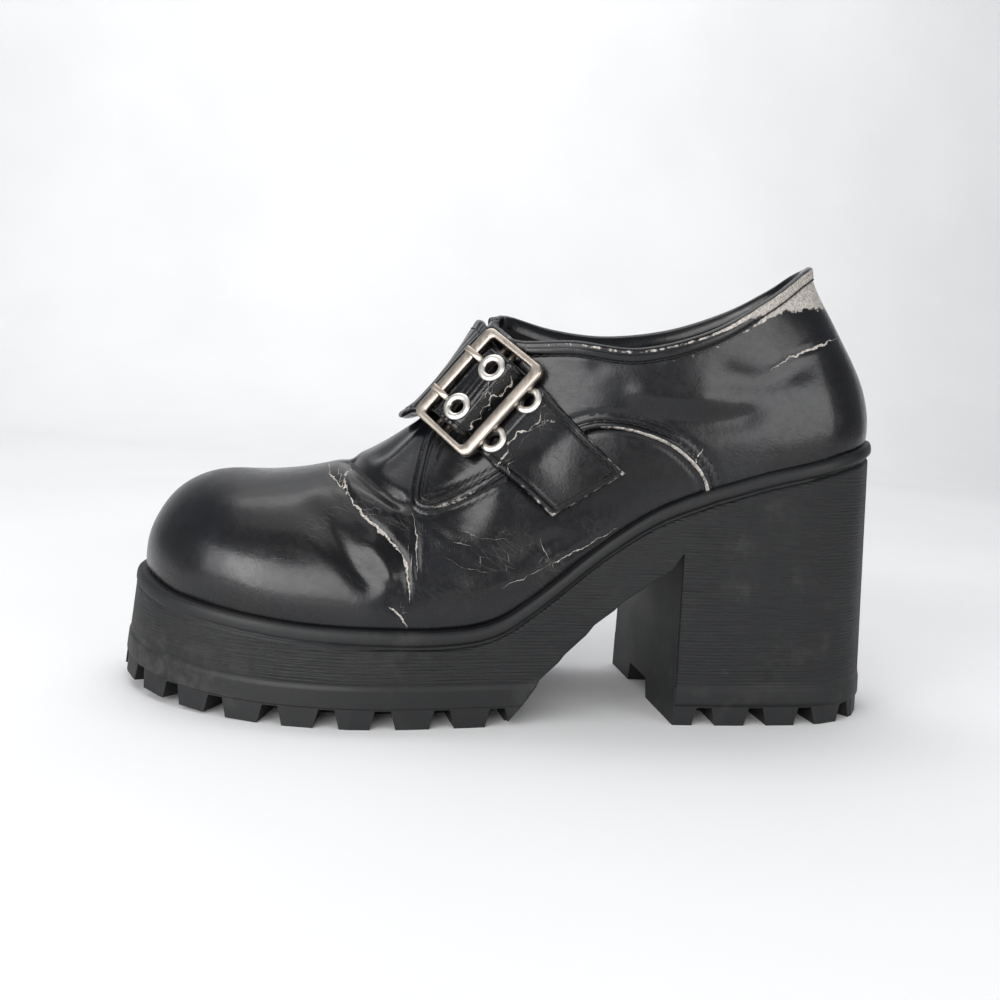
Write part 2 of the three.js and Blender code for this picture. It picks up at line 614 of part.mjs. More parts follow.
const slotReach = [-9.0, -4.7];   // slots for the prongs, from the instep towards the tail
const slotEase = 0.5;
function strap() {
  const ridgeU = -30;
  const half = bandWidth / 2;
  const spread = half + bandSpread / 2;
  const narrow = strapWidth / 2;
  const shoulder = -frameAcross / 2 + longBar / 2;
  const beyond = ridgeU - 15;
  const flareOut = spread + (spread - half) * 15 / (shoulder - ridgeU);
  const band = [[shoulder - 1, half], [ridgeU, spread - bandSkew], [beyond, flareOut - 2 * bandSkew]];
  const bandBack = [[beyond, -flareOut - 2 * bandSkew], [ridgeU, -spread - bandSkew], [shoulder - 1, -half]];
  const tail = [[shoulder, -narrow], [tailReach, -narrow], [tailReach + 1, narrow], [shoulder, narrow]];
  const outerPrism = bucklePrism([...bandBack, ...tail, ...band], -34, 14);
  const innerPrism = mirroredAtRidge(bucklePrism([...bandBack, [bandEnd, -half], [bandEnd, half], ...band], -34, 14));
  const outerCut = solid(outerPrism).intersect(halfSpace(-ballWidth, ridgeY + 0.05));
  const innerCut = solid(innerPrism).intersect(halfSpace(ridgeY, ballWidth));
  const qs = stretch(6.7, 12.5, 25);
  const stretches = [qs, qs.map((q) => -q).reverse()];
  const layer = solid(wallBetween(stretches, stretch(0.15, 1, 15), strapLayer(0), strapLayer(strapThick)));
  const slots = [-1, 1].map((side) => {
    const t = side * eyeletSpacing / 2;
    const wide = prongWidth / 2 + slotEase;
    return solid(bucklePrism([
      [slotReach[0], t - wide], [slotReach[1], t - wide], [slotReach[1], t + wide], [slotReach[0], t + wide],
    ], -8, 8));
  });
  const openings = joined([...slots, ...eyelets.map(eyeletBore)]);
  return geometryOf(layer.intersect(outerCut.add(innerCut)).subtract(openings));
}

// Buckle frame: a rounded rectangle with two cross bars under the strap
function roundedRectangle(wide, high, radius) {
  const corners = [[1, 1, 0], [-1, 1, 1], [-1, -1, 2], [1, -1, 3]];
  return corners.flatMap(([sx, sy, turn]) => steps(3).map((share) => {
    const angle = (turn + share) * Math.PI / 2;
    const x = sx * (wide / 2 - radius) + radius * Math.cos(angle);
    const y = sy * (high / 2 - radius) + radius * Math.sin(angle);
    return new THREE.Vector2(x, y);
  }));
}

function buckleFrame() {
  const shape = new THREE.Shape(roundedRectangle(frameAcross, frameLong, frameCorner));
  const window = roundedRectangle(frameAcross - 2 * longBar, frameLong - 2 * sideBar, frameCorner / 2);
  shape.holes.push(new THREE.Path(window.reverse()));
  const frame = new THREE.ExtrudeGeometry(shape, {
    depth: frameThick - 2 * frameEase, bevelEnabled: true, bevelThickness: frameEase, bevelSize: frameEase,
    bevelOffset: -frameEase, bevelSegments: 1,
  });
  frame.translate(0, 0, frameEase - frameThick / 2);
  const reach = frameLong - sideBar;
  const bars = [-1, 1].map((side) => {
    const bar = new THREE.CylinderGeometry(crossBar / 2, crossBar / 2, reach, 10);
    bar.translate(crossBarMiddle + side * crossBarPitch / 2, 0, -crossBarDrop);
    return solid(bar.applyMatrix4(toBuckle));
  });
  return geometryOf(joined([solid(frame.applyMatrix4(toBuckle)), ...bars]));
}

// Prong: a bent strip that comes up through the strap's slot beside the first cross bar and rests over the inner
// bar. Its middle line in (u, w), with half its thickness to either side.
const prongLine = table('across out', [
  [-5.55, -1.7], [-5.60, -0.2], [-6.10, 1.0], [-7.30, 1.9], [-9.20, 2.25], [-12.6, 2.25], [-13.4, 2.05],
]);
function prong(side) {
  const line = prongLine.map((row) => new THREE.Vector2(row.across, row.out));
  const edge = (sign) => line.map((p, k) => {
    const ahead = line[Math.min(k + 1, line.length - 1)].clone().sub(line[Math.max(k - 1, 0)]).normalize();
    const off = sign * prongThick / 2 * (k === line.length - 1 ? 0.5 : 1);
    return new THREE.Vector2(p.x - ahead.y * off, p.y + ahead.x * off);
  });
  const shape = new THREE.Shape([...edge(-1), ...edge(1).reverse()]);
  const strip = new THREE.ExtrudeGeometry(shape, { depth: prongWidth, bevelEnabled: false });
  strip.rotateX(Math.PI / 2);
  strip.translate(0, side * eyeletSpacing / 2 + prongWidth / 2, 0);
  return geometryOf(solid(strip.applyMatrix4(toBuckle)));
}

// Parts
const leather = new THREE.MeshStandardMaterial({ color: 0x17181b, roughness: 0.38, metalness: 0 });
const rubber = new THREE.MeshStandardMaterial({ color: 0x26272a, roughness: 0.75, metalness: 0 });
const sock = new THREE.MeshStandardMaterial({ color: 0x1c1b1a, roughness: 0.9, metalness: 0 });
const nickel = new THREE.MeshStandardMaterial({ color: 0xb9b3a8, roughness: 0.32, metalness: 1 });

const shoe = new THREE.Group();
function place(name, geometry, material) {
  const mesh = new THREE.Mesh(geometry, material);
  mesh.name = name;
  shoe.add(mesh);
}

place('sole_unit', soleUnit(), rubber);
place('insole', insole(), sock);
place('upper', upper(), leather);
place('quarter_outer', quarterOverlay(outerEdge, -1), leather);
place('quarter_inner', quarterOverlay(innerEdge, 1), leather);
place('strap', strap(), leather);
place('buckle_frame', buckleFrame(), nickel);
[-1, 1].forEach((side, k) => place(`prong_${k + 1}`, prong(side), nickel));
eyelets.forEach((row, k) => place(`eyelet_${k + 1}`, eyelet(row), nickel));

// The origin lies under the middle of the shoe's length and width
const extent = new THREE.Box3().setFromObject(shoe);
shoe.position.set(-(extent.min.x + extent.max.x) / 2, -(extent.min.y + extent.max.y) / 2, 0);

export default shoe;
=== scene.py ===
# %% [markdown]
# # A worn left platform shoe
# The CAD model gives the true sizes: sole, hollow upper, overlays, strap and buckle. This lesson dresses
# it. Each visible surface is worked out again as a dense grid from the same few named sizes, then creased,
# stitched and worn. Everything is in millimetres until it goes into a mesh, where one factor turns it to
# metres.

import bmesh
import bpy
import numpy as np
from mathutils import Matrix, Vector
from mathutils.bvhtree import BVHTree


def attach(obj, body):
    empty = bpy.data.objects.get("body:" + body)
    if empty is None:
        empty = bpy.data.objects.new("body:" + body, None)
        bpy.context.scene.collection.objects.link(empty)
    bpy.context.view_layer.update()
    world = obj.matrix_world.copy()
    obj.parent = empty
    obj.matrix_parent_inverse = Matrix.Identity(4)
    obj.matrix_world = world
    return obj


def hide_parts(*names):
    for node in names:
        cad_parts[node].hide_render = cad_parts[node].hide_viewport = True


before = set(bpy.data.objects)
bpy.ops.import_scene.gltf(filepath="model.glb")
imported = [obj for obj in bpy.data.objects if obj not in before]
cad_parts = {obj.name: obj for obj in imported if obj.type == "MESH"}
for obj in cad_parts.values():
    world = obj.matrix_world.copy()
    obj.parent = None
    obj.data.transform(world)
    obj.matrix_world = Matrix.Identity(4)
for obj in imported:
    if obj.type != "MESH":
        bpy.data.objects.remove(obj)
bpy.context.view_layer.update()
MM = 0.001

# %% [markdown]
# ## Camera
# The photograph was taken from low beside the shoe, about 0.35 m from it, with the camera rolled a little
# to the left. The eye stays where it was; the camera only turns down so that the one shoe fills the frame.

# %% Camera
EYE = np.array([-37.4, -351.8, 113.0])
RIGHT = np.array([0.994, -0.089, 0.059])
DOWN = np.array([0.062, 0.030, -0.998])
AHEAD = np.array([0.087, 0.996, 0.035])
PITCH = np.radians(9.3)
ahead = AHEAD * np.cos(PITCH) + DOWN * np.sin(PITCH)
down = DOWN * np.cos(PITCH) - AHEAD * np.sin(PITCH)
turn = np.column_stack([RIGHT, -down, -ahead])
turn, _ = np.linalg.qr(turn)
turn *= np.sign(np.sum(turn * np.column_stack([RIGHT, -down, -ahead]), axis=0))
camera_data = bpy.data.cameras.new("photo_camera")
camera_data.lens = 36
camera_data.sensor_width = 36
camera_data.clip_start = 0.01
camera = bpy.data.objects.new("photo_camera", camera_data)
camera.matrix_world = Matrix.LocRotScale(Vector(EYE * MM), Matrix(turn.tolist()), None)
bpy.context.scene.collection.objects.link(camera)
bpy.context.scene.camera = camera
print("camera", EYE, "mm, turned down", np.degrees(PITCH), "degrees")


# %% [markdown]
# ## The last in numbers
# A shoe is built round a last. Here the last is a table: one row per rib from the toe tip to the heel back,
# with where its foot stands on the sole and where its top meets the ridge of the vamp or the collar. Smooth
# curves through the rows give every point between them, so one function makes the whole skin of the upper.

# %% Sizes and the table of ribs
# Whole shoe: its length, the width at the ball, the collar's height and the lip's height at the back
LENGTH, BALL, COLLAR, BACK = 266.0, 99.0, 154.0, 96.5
# Side of the sole: ledge beside the leather, flare to the floor, bead and its step, smooth band and its step
LEDGE, FLARE, BEAD, BEAD_STEP, BAND, BAND_STEP = 2.8, 5.0, 5.0, 0.9, 13.0, 0.4
# Height of a lug, toe spring, the small gap between pieces, and the shift that centres the outline
LUG, SPRING, GAP, SHIFT = 6.0, 4.5, 0.3, -2.515
# One row per rib: shares of the length for foot and top, of the ball's width and of the collar's height, then
# how the curve between them bulges
COLUMNS = ("footOut footOuter footIn footInner topAlong topOuter topInner highOuter highInner "
           "flare belly lift reach drop fan").split()
RIBS = np.array([
    [0.000, -0.090, 0.000, 0.090, 0.147, -0.060, 0.060, 0.485, 0.485, 0.80, 0.020, 0.52, 0.63, 0.00, 1],
    [0.015, 0.061, 0.009, 0.242, 0.152, -0.060, 0.060, 0.485, 0.485, 0.75, 0.020, 0.52, 0.63, 0.00, 1],
    [0.049, 0.202, 0.045, 0.384, 0.162, -0.060, 0.060, 0.485, 0.485, 0.65, 0.021, 0.52, 0.63, 0.00, 1],
    [0.101, 0.318, 0.101, 0.485, 0.177, -0.056, 0.056, 0.485, 0.485, 0.50, 0.024, 0.52, 0.63, 0.00, 1],
    [0.162, 0.399, 0.166, 0.525, 0.198, -0.055, 0.055, 0.488, 0.488, 0.40, 0.026, 0.50, 0.64, 0.00, 0.7],
    [0.233, 0.455, 0.233, 0.525, 0.240, -0.050, 0.050, 0.501, 0.501, 0.35, 0.026, 0.50, 0.60, 0.00, 0.3],
    [0.309, 0.478, 0.301, 0.500, 0.297, -0.045, 0.045, 0.532, 0.532, 0.35, 0.022, 0.48, 0.55, 0.00, 0],
    [0.376, 0.465, 0.368, 0.449, 0.352, -0.040, 0.040, 0.590, 0.590, 0.35, 0.016, 0.46, 0.52, 0.00, 0],
    [0.436, 0.439, 0.429, 0.399, 0.404, -0.030, 0.030, 0.672, 0.672, 0.35, 0.010, 0.44, 0.50, 0.00, 0],
    [0.488, 0.414, 0.485, 0.369, 0.456, -0.020, 0.020, 0.832, 0.832, 0.35, 0.006, 0.42, 0.48, 0.00, 0],
    [0.534, 0.394, 0.534, 0.354, 0.464, 0.090, 0.100, 0.828, 0.851, 0.35, 0.004, 0.40, 0.30, 0.10, 0],
    [0.579, 0.377, 0.579, 0.346, 0.490, 0.203, 0.207, 0.797, 0.860, 0.35, 0.004, 0.38, 0.10, 0.20, 0],
    [0.631, 0.364, 0.628, 0.345, 0.557, 0.268, 0.268, 0.802, 0.837, 0.35, 0.004, 0.36, 0.03, 0.30, 0],
    [0.684, 0.357, 0.684, 0.348, 0.635, 0.296, 0.296, 0.795, 0.830, 0.35, 0.006, 0.36, 0.02, 0.34, 0],
    [0.752, 0.352, 0.752, 0.348, 0.722, 0.291, 0.291, 0.840, 0.854, 0.40, 0.010, 0.34, 0.12, 0.30, 0],
    [0.827, 0.338, 0.827, 0.333, 0.797, 0.242, 0.242, 0.919, 0.903, 0.55, 0.016, 0.34, 0.26, 0.27, 0],
    [0.906, 0.306, 0.906, 0.291, 0.844, 0.157, 0.157, 0.977, 0.955, 0.75, 0.026, 0.36, 0.40, 0.23, 0],
    [0.965, 0.208, 0.965, 0.198, 0.866, 0.076, 0.076, 1.000, 0.990, 0.95, 0.036, 0.38, 0.48, 0.20, 0],
    [1.000, 0.000, 1.000, 0.000, 0.874, 0.000, 0.000, 1.002, 1.002, 1.00, 0.040, 0.38, 0.50, 0.20, 0],
])
LIP = np.array([
    [0.000, 0.405], [0.027, 0.394], [0.067, 0.371], [0.116, 0.356], [0.177, 0.340], [0.248, 0.326],
    [0.328, 0.321], [0.402, 0.319], [0.452, 0.330], [0.485, 0.358], [0.519, 0.420], [0.557, 0.504],
    [0.594, 0.592], [0.631, 0.670], [0.669, 0.738], [0.703, 0.783], [0.744, 0.827], [0.808, 0.881],
    [0.872, 0.924], [0.940, 0.970], [1.000, 1.000],
])
ARCH = np.array([
    [-0.10, -0.15], [-0.08, 0.02], [0.02, 0.12], [0.12, 0.26], [0.27, 0.40], [0.45, 0.57],
    [0.62, 0.70], [0.80, 0.82], [0.93, 0.90], [1.00, 0.99],
])
THROAT = 9                     # rib where the ridge ends and the collar begins
HEEL = len(RIBS) - 1
RING = 2 * HEEL
print(len(RIBS), "ribs a side,", len(LIP), "points on the lip,", len(ARCH), "on the arch")


# %% [markdown]
# ## Curves through the table
# A Catmull-Rom curve passes through every row and keeps its slope from one row to the next. The ring of
# ribs runs from the toe along the outer side (ribs 0 to 18) and back along the inner side (18 to 36).

# %% Smooth curves
def smooth(x, low, high):
    """0 below low, 1 above high, and between them 3 t squared less 2 t cubed of the share t."""
    t = np.clip((x - low) / (high - low), 0, 1)
    return t * t * (3 - 2 * t)


def bump(x, middle, width):
    """A bell: e to minus the square of the distance over the width."""
    return np.exp(-((x - middle) / width) ** 2)


def spline(p0, p1, p2, p3, t):
    """Catmull-Rom: a cubic from p1 to p2 whose end slopes are half of p2 - p0 and of p3 - p1."""
    square = 2 * p0 - 5 * p1 + 4 * p2 - p3
    cube = 3 * p1 - p0 - 3 * p2 + p3
    return 0.5 * (2 * p1 + (p2 - p0) * t + square * t**2 + cube * t**3)


def along(table, at):
    """Height in a two-column table at each place of an array, by the spline through its rows."""
    at = np.asarray(at, float)
    k = np.clip(np.searchsorted(table[:, 0], at, side="right") - 1, 0, len(table) - 2)
    t = np.clip((at - table[k, 0]) / (table[k + 1, 0] - table[k, 0]), 0, 1)
    row = [table[np.clip(k + j, 0, len(table) - 1), 1] for j in (-1, 0, 1, 2)]
    return spline(*row, t)


def ring_table():
    """One row per rib all round: outer columns for ribs 0 to 18, the inner ones mirrored for the rest."""
    get = {name: RIBS[:, k] for k, name in enumerate(COLUMNS)}
    k = np.arange(RING)
    inner = k > HEEL
    row = np.where(inner, RING - k, k)
    side = np.where(inner, 1, -1)
    pick = lambda outer_name, inner_name: np.where(inner, get[inner_name][row], get[outer_name][row])
    return {
        "footX": (pick("footOut", "footIn") - 0.5) * LENGTH,
        "footY": side * BALL * pick("footOuter", "footInner"),
        "topX": (get["topAlong"][row] - 0.5) * LENGTH,
        "topY": side * BALL * pick("topOuter", "topInner"),
        "topZ": COLLAR * pick("highOuter", "highInner"),
        "flare": FLARE * get["flare"][row],
        "belly": BALL * get["belly"][row],
        **{name: get[name][row] for name in ("lift", "reach", "drop", "fan")},
    }


ring = ring_table()


def rib(name, q):
    """Value of one column at q, by the spline round the closed ring."""
    q = np.asarray(q, float)
    k = np.floor(q).astype(int)
    p = [ring[name][(k + j) % RING] for j in (-1, 0, 1, 2)]
    return spline(*p, q - k)


def lip_height(x):
    """Height of the sole's upper edge at x."""
    return BACK * along(LIP, x / LENGTH + 0.5)


def tread_height(x):
    """Toe spring: zero behind 22% of the length, then a parabola up to the toe tip."""
    start = (0.22 - 0.5) * LENGTH
    rise = np.maximum(0, (start - x) / (start + LENGTH / 2))
    return SPRING * rise**2


def outline(q, inset=0.0):
    """The tread's outline at q, moved in by inset along the perpendicular of the curve."""
    step = 0.05
    x, y = rib("footX", q), rib("footY", q)
    dx = rib("footX", q + step) - rib("footX", q - step)
    dy = rib("footY", q + step) - rib("footY", q - step)
    size = np.hypot(dx, dy)
    return x - dy / size * inset, y + dx / size * inset


def upper(q, v):
    """Outside of the upper: a cubic Bezier on each rib q, from the lip (v 0) to ridge or collar (v 1)."""
    q, v = np.broadcast_arrays(np.asarray(q, float), np.asarray(v, float))
    fx, fy = outline(q, rib("flare", q) + LEDGE)
    ox, oy = outline(q)
    ix, iy = outline(q, 1.0)
    turn_q = np.mod(q, RING)
    station = np.where(turn_q > HEEL, RING - turn_q, turn_q)
    own = [rib(name, q) for name in ("topX", "topY", "topZ")]
    other = [rib(name, RING - turn_q) for name in ("topX", "topY", "topZ")]
    tx, ty, tz = [np.where(station > THROAT, a, (a + b) / 2) for a, b in zip(own, other)]
    bz = lip_height(fx) + GAP
    rise = tz - bz
    belly = rib("belly", q)
    low = (fx + (ox - ix) * belly, fy + (oy - iy) * belly, bz + rise * rib("lift", q))
    reach = rib("reach", q)
    high = (tx + (fx - tx) * rib("fan", q) * reach, ty + (fy - ty) * reach, tz - rise * rib("drop", q))
    w = [(1 - v) ** 3, 3 * (1 - v) ** 2 * v, 3 * (1 - v) * v**2, v**3]
    corners = zip((fx, fy, bz), low, high, (tx, ty, tz))
    x, y, z = [w[0] * a + w[1] * b + w[2] * c + w[3] * d for a, b, c, d in corners]
    return np.stack([x, y + SHIFT, z], axis=-1)


def normal_of(q, v, step=0.004):
    """Outward normal: the cross product of the slopes along q and along v."""
    q, v = np.broadcast_arrays(np.asarray(q, float), np.asarray(v, float))
    va, vb = np.clip(v - step, 0, 1), np.clip(v + step, 0, 1)
    n = np.cross(upper(q + 10 * step, v) - upper(q - 10 * step, v), upper(q, vb) - upper(q, va))
    return n / np.maximum(np.linalg.norm(n, axis=-1, keepdims=True), 1e-12)


# %% [markdown]
# ## From arrays to meshes
# One function turns a grid of points into a mesh. A grid may close round one way or both ways, cells can be
# left out, and points that fall together are merged, which closes seams and poles.

# %% Mesh helpers
def colour(hex_text):
    """sRGB hex to linear: the cube-like curve of the sRGB standard, channel by channel."""
    c = np.array([int(hex_text[k:k + 2], 16) / 255 for k in (0, 2, 4)])
    lin = np.where(c <= 0.04045, c / 12.92, ((c + 0.055) / 1.055) ** 2.4)
    return (*lin.tolist(), 1.0)


def grid_faces(rows, columns, close_rows=False, close_columns=False):
    """Quads of a grid, wound so that they face out where columns run along the outline and rows run up."""
    r = np.arange(rows if close_rows else rows - 1)
    c = np.arange(columns if close_columns else columns - 1)
    r, c = np.meshgrid(r, c, indexing="ij")
    r2, c2 = (r + 1) % rows, (c + 1) % columns
    corners = [r * columns + c, r * columns + c2, r2 * columns + c2, r2 * columns + c]
    return np.stack(corners, axis=-1).reshape(-1, 4)


def make_mesh(name, points, faces, materials, slots=None, attributes=None, merge=1e-6):
    """A smooth mesh object from points in mm and quads; slots gives each face's material."""
    mesh = bpy.data.meshes.new(name)
    points = np.asarray(points, float).reshape(-1, 3) * MM
    faces = np.asarray(faces)
    mesh.vertices.add(len(points))
    mesh.vertices.foreach_set("co", points.ravel())
    mesh.loops.add(faces.size)
    mesh.loops.foreach_set("vertex_index", faces.ravel())
    mesh.polygons.add(len(faces))
    mesh.polygons.foreach_set("loop_start", np.arange(0, faces.size, faces.shape[1]))
    if slots is not None:
        mesh.polygons.foreach_set("material_index", np.asarray(slots, dtype=np.int32))
    for key, values in (attributes or {}).items():
        painted = mesh.attributes.new(key, "FLOAT", "POINT")
        painted.data.foreach_set("value", np.asarray(values, float).ravel())
    mesh.update(calc_edges=True)
    mesh.validate()
    if merge:
        tidy = bmesh.new()
        tidy.from_mesh(mesh)
        bmesh.ops.remove_doubles(tidy, verts=tidy.verts, dist=merge)
        bmesh.ops.dissolve_degenerate(tidy, dist=1e-7, edges=tidy.edges)
        tidy.to_mesh(mesh)
        tidy.free()
    mesh.polygons.foreach_set("use_smooth", np.ones(len(mesh.polygons), dtype=bool))
    obj = bpy.data.objects.new(name, mesh)
    bpy.context.scene.collection.objects.link(obj)
    for material in materials:
        mesh.materials.append(material)
    print(name, len(mesh.vertices), "vertices")
    return obj


def finish_piece(obj, slot, *nodes):
    """The piece rides on the shoe's one body and hides the CAD nodes it stands for; slot is not used."""
    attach(obj, "root")
    if nodes:
        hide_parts(*nodes)
    return obj


# %% [markdown]
# ## Marks on the leather
# A crease or crack is a line given in the side view, in the shoe's own millimetres. For each point of
# the skin we need how far it lies from the line, on which side, and how far along. The sign lets a thin
# crack be drawn sharply in the material even where the grid is coarser than the crack.

# %% Distance to a line
FAR = 60.0                     # what is painted, in mm, where no line is near


def to_line(x, z, line):
    """Signed distance to a polyline and share along it: each piece is projected on and clamped."""
    line = np.asarray(line, float)
    size = np.hypot(*np.diff(line, axis=0).T)
    walked = np.concatenate([[0], np.cumsum(size)])
    best = np.full(np.shape(x), 1e9)
    share = np.zeros(np.shape(x))
    for k, (a, b) in enumerate(zip(line[:-1], line[1:])):
        d = (b - a) / size[k]
        px, pz = x - a[0], z - a[1]
        t = np.clip(px * d[0] + pz * d[1], 0, size[k])
        away = np.hypot(px - t * d[0], pz - t * d[1])
        sign = np.where(d[0] * pz - d[1] * px >= 0, 1, -1)
        near = away < np.abs(best)
        best = np.where(near, sign * away, best)
        share = np.where(near, (walked[k] + t) / walked[-1], share)
    return best, share


def through(points, count):
    """A smooth line of count points through given ones, by the spline over their numbers."""
    p = np.asarray(points, float)
    s = np.linspace(0, len(p) - 1, count)
    out = []
    for axis in range(p.shape[1]):
        rows = np.column_stack([np.arange(len(p)), p[:, axis]])
        out.append(along(rows, s))
    return np.column_stack(out)


def inside(x, z, polygon):
    """True where a ray to +x crosses the closed polygon an odd number of times."""
    odd = np.zeros(np.shape(x), bool)
    for a, b in zip(polygon, np.roll(polygon, -1, axis=0)):
        crosses = (a[1] > z) != (b[1] > z)
        with np.errstate(divide="ignore", invalid="ignore"):
            at = a[0] + (z - a[1]) * (b[0] - a[0]) / (b[1] - a[1])
        odd ^= crosses & (x < at)
    return odd


# %% [markdown]
# ## The two quarters
# The outer quarter has a pointed flap under the buckle; the inner one is plainer. On the real shoe they are
# leather cut to shape, folded at the edge and stitched down in two rows. Here each is a step in the skin at
# its edge line.

# %% Edges of the quarters
side_view = lambda rows: np.array([[(a - 0.5) * LENGTH, h * COLLAR] for a, h in rows])
OUTER_EDGE = through(side_view([
    [0.735, 0.470], [0.730, 0.512], [0.717, 0.553], [0.685, 0.597], [0.647, 0.621], [0.610, 0.630],
    [0.576, 0.621], [0.523, 0.571], [0.476, 0.514], [0.430, 0.465], [0.394, 0.441], [0.376, 0.446],
    [0.371, 0.468], [0.376, 0.526], [0.388, 0.592], [0.420, 0.665], [0.470, 0.760], [0.485, 0.850],
]), 120)
INNER_EDGE = through(side_view([
    [0.735, 0.470], [0.730, 0.512], [0.714, 0.556], [0.682, 0.600], [0.643, 0.621], [0.600, 0.628],
    [0.556, 0.612], [0.510, 0.575], [0.460, 0.545], [0.420, 0.545], [0.395, 0.570], [0.395, 0.610],
    [0.425, 0.680], [0.470, 0.770], [0.480, 0.880],
]), 110)
print("edges of", len(OUTER_EDGE), "and", len(INNER_EDGE), "points")


def into_quarter(p):
    """How far each point lies inside its quarter's edge, negative outside, in the side view."""
    x, y, z = p[..., 0], p[..., 1], p[..., 2]
    depth = np.full(x.shape, -50.0)
    for edge, mine in ((OUTER_EDGE, y < 0), (INNER_EDGE, y >= 0)):
        loop = np.vstack([edge, [edge[-1][0], 200], [170, 200], [170, edge[0][1]]])
        away = np.abs(to_line(x, z, edge)[0])
        depth = np.where(mine, np.where(inside(x, z, loop), away, -away), depth)
    return depth


# %% [markdown]
# ## Cracks and creases
# The coating of this shoe is synthetic and has cracked where the foot bends it. Each crack has its line,
# its width and the depth of the crease it lies in, all listed.

# %% Cracks and creases
# Table of cracks: line in the side view, width, crease depth
CRACKS = [
    ([(-63.5, 79.5), (-62.7, 76.8), (-58.5, 73.2), (-55.1, 70.4), (-52.0, 67.4), (-49.7, 65.0), (-47.4, 63.2),
      (-43.7, 60.4), (-41.1, 58.5), (-36.7, 53.5), (-35.0, 47.4), (-34.0, 38.9)], 0.55, 0.35),
    ([(-55.8, 79.5), (-57.2, 76.5), (-56.4, 73.0), (-55.0, 70.6)], 0.45, 0.2),
    ([(-34.6, 67.0), (-33.2, 63.0), (-32.4, 54.1), (-31.7, 46.1)], 0.25, 0.2),
    ([(-40.6, 38.5), (-37.0, 35.5), (-34.4, 31.8)], 0.35, 0.15),
    ([(107.0, 131.5), (103.0, 129.8), (96.6, 127.3), (91.0, 124.9), (85.3, 122.2), (79.4, 118.2)],
     0.42, 0.15),
    ([(-6.6, 43.9), (9.4, 51.5), (21.7, 58.4), (33.9, 65.7)], 0.2, 0.15),
    ([(-28.3, 63.2), (-21.8, 59.1), (-15.0, 57.6)], 0.15, 0.1),
    ([(13.7, 49.4), (9.5, 56.0), (6.7, 61.6)], 0.14, 0.1),
    ([(-25.0, 55.0), (-17.5, 50.8), (-9.0, 49.6)], 0.15, 0.1),
    ([(-20.0, 62.6), (-11.0, 60.2), (-2.5, 60.8)], 0.14, 0.1),
    ([(-78.1, 50.8), (-76.0, 51.2), (-74.0, 51.1)], 0.16, 0.0),
    ([(56.0, 86.0), (57.5, 90.0), (59.0, 92.5)], 0.25, 0.0),
]

# Table of creases: line in the side view, width, height
CREASES = [
    ([(-63.0, 83.5), (-55.0, 79.5), (-47.0, 74.5), (-40.0, 70.5), (-33.0, 67.5)], 2.3, -2.3),
    ([(-60.0, 77.0), (-51.0, 71.5), (-43.0, 67.0), (-36.0, 62.0)], 3.4, 1.0),
    ([(-70.0, 70.0), (-60.0, 60.0), (-51.0, 50.0), (-43.0, 41.0)], 3.6, -1.3),
    ([(-50.0, 60.0), (-45.0, 55.0), (-41.0, 49.0), (-39.0, 43.0)], 2.6, 0.7),
    ([(-68.0, 82.0), (-62.0, 84.5), (-56.0, 86.0), (-50.0, 86.5)], 2.6, 1.9),
    ([(-51.5, 80.5), (-46.0, 83.0), (-41.0, 87.0), (-34.0, 93.5), (-30.0, 98.0)], 1.3, -1.0),
    ([(-48.5, 78.5), (-42.0, 82.0), (-36.0, 88.0), (-30.0, 94.0)], 1.8, 0.7),
    ([(-22.0, 58.0), (-8.0, 54.0), (8.0, 58.0), (20.0, 66.0)], 4.0, -0.6),
    ([(-30.0, 48.0), (-12.0, 44.0), (4.0, 50.0), (18.0, 60.0)], 3.0, 0.5),
    ([(28.0, 103.0), (44.0, 101.0), (62.0, 101.0), (84.0, 106.0)], 4.5, -1.0),
    ([(30.0, 110.0), (48.0, 108.0), (66.0, 109.0)], 4.5, 0.7),
    ([(58.0, 118.0), (76.0, 115.0), (98.0, 123.0)], 5.0, -0.7),
    ([(16.0, 116.0), (32.0, 119.0), (48.0, 121.0)], 3.5, -0.5),
]
print(len(CRACKS), "cracks,", len(CREASES), "creases")


def marks(p):
    """Crack distance, nearness and width, and the relief of creases, for every point of the skin."""
    x, y, z = p[..., 0], p[..., 1], p[..., 2]
    near = np.full(x.shape, FAR)
    signed = near.copy()
    width = np.zeros(x.shape)
    relief = np.zeros(x.shape)
    outer = smooth(-y, 1.0, 4.0)
    for line, wide, deep in CRACKS:
        s, share = to_line(x, z, through(line, 6 * len(line)))
        taper = np.sqrt(np.clip(np.sin(np.pi * np.clip(share, 0.0, 1.0)), 0, 1))
        mine = (np.abs(s) < near) & (y < -1)
        near = np.where(mine, np.abs(s), near)
        signed = np.where(mine, s, signed)
        width = np.where(mine, wide * taper, width)
        relief += outer * taper * deep * (0.45 * bump(np.abs(s), 1.9, 1.1) - bump(s, 0, 0.9))
    for line, wide, high in CREASES:
        s, share = to_line(x, z, through(line, 6 * len(line)))
        ends = smooth(share, 0, 0.25) * smooth(1 - share, 0, 0.25)
        relief += outer * ends * high * bump(s, 0, wide)
        relief += (1 - outer) * 0.5 * ends * high * bump(s, 0, wide)
    return signed, near, width, relief


# %% [markdown]
# ## Materials
# Each material is named for what the real one is. Colours are sRGB hex. Patterns read Object coordinates,
# which are metres here, so a scale of 1000 puts one cell in each millimetre. A material is a chain of
# nodes. One function adds any of them, and what goes into it is a number, a hex colour or the output of an
# earlier node.

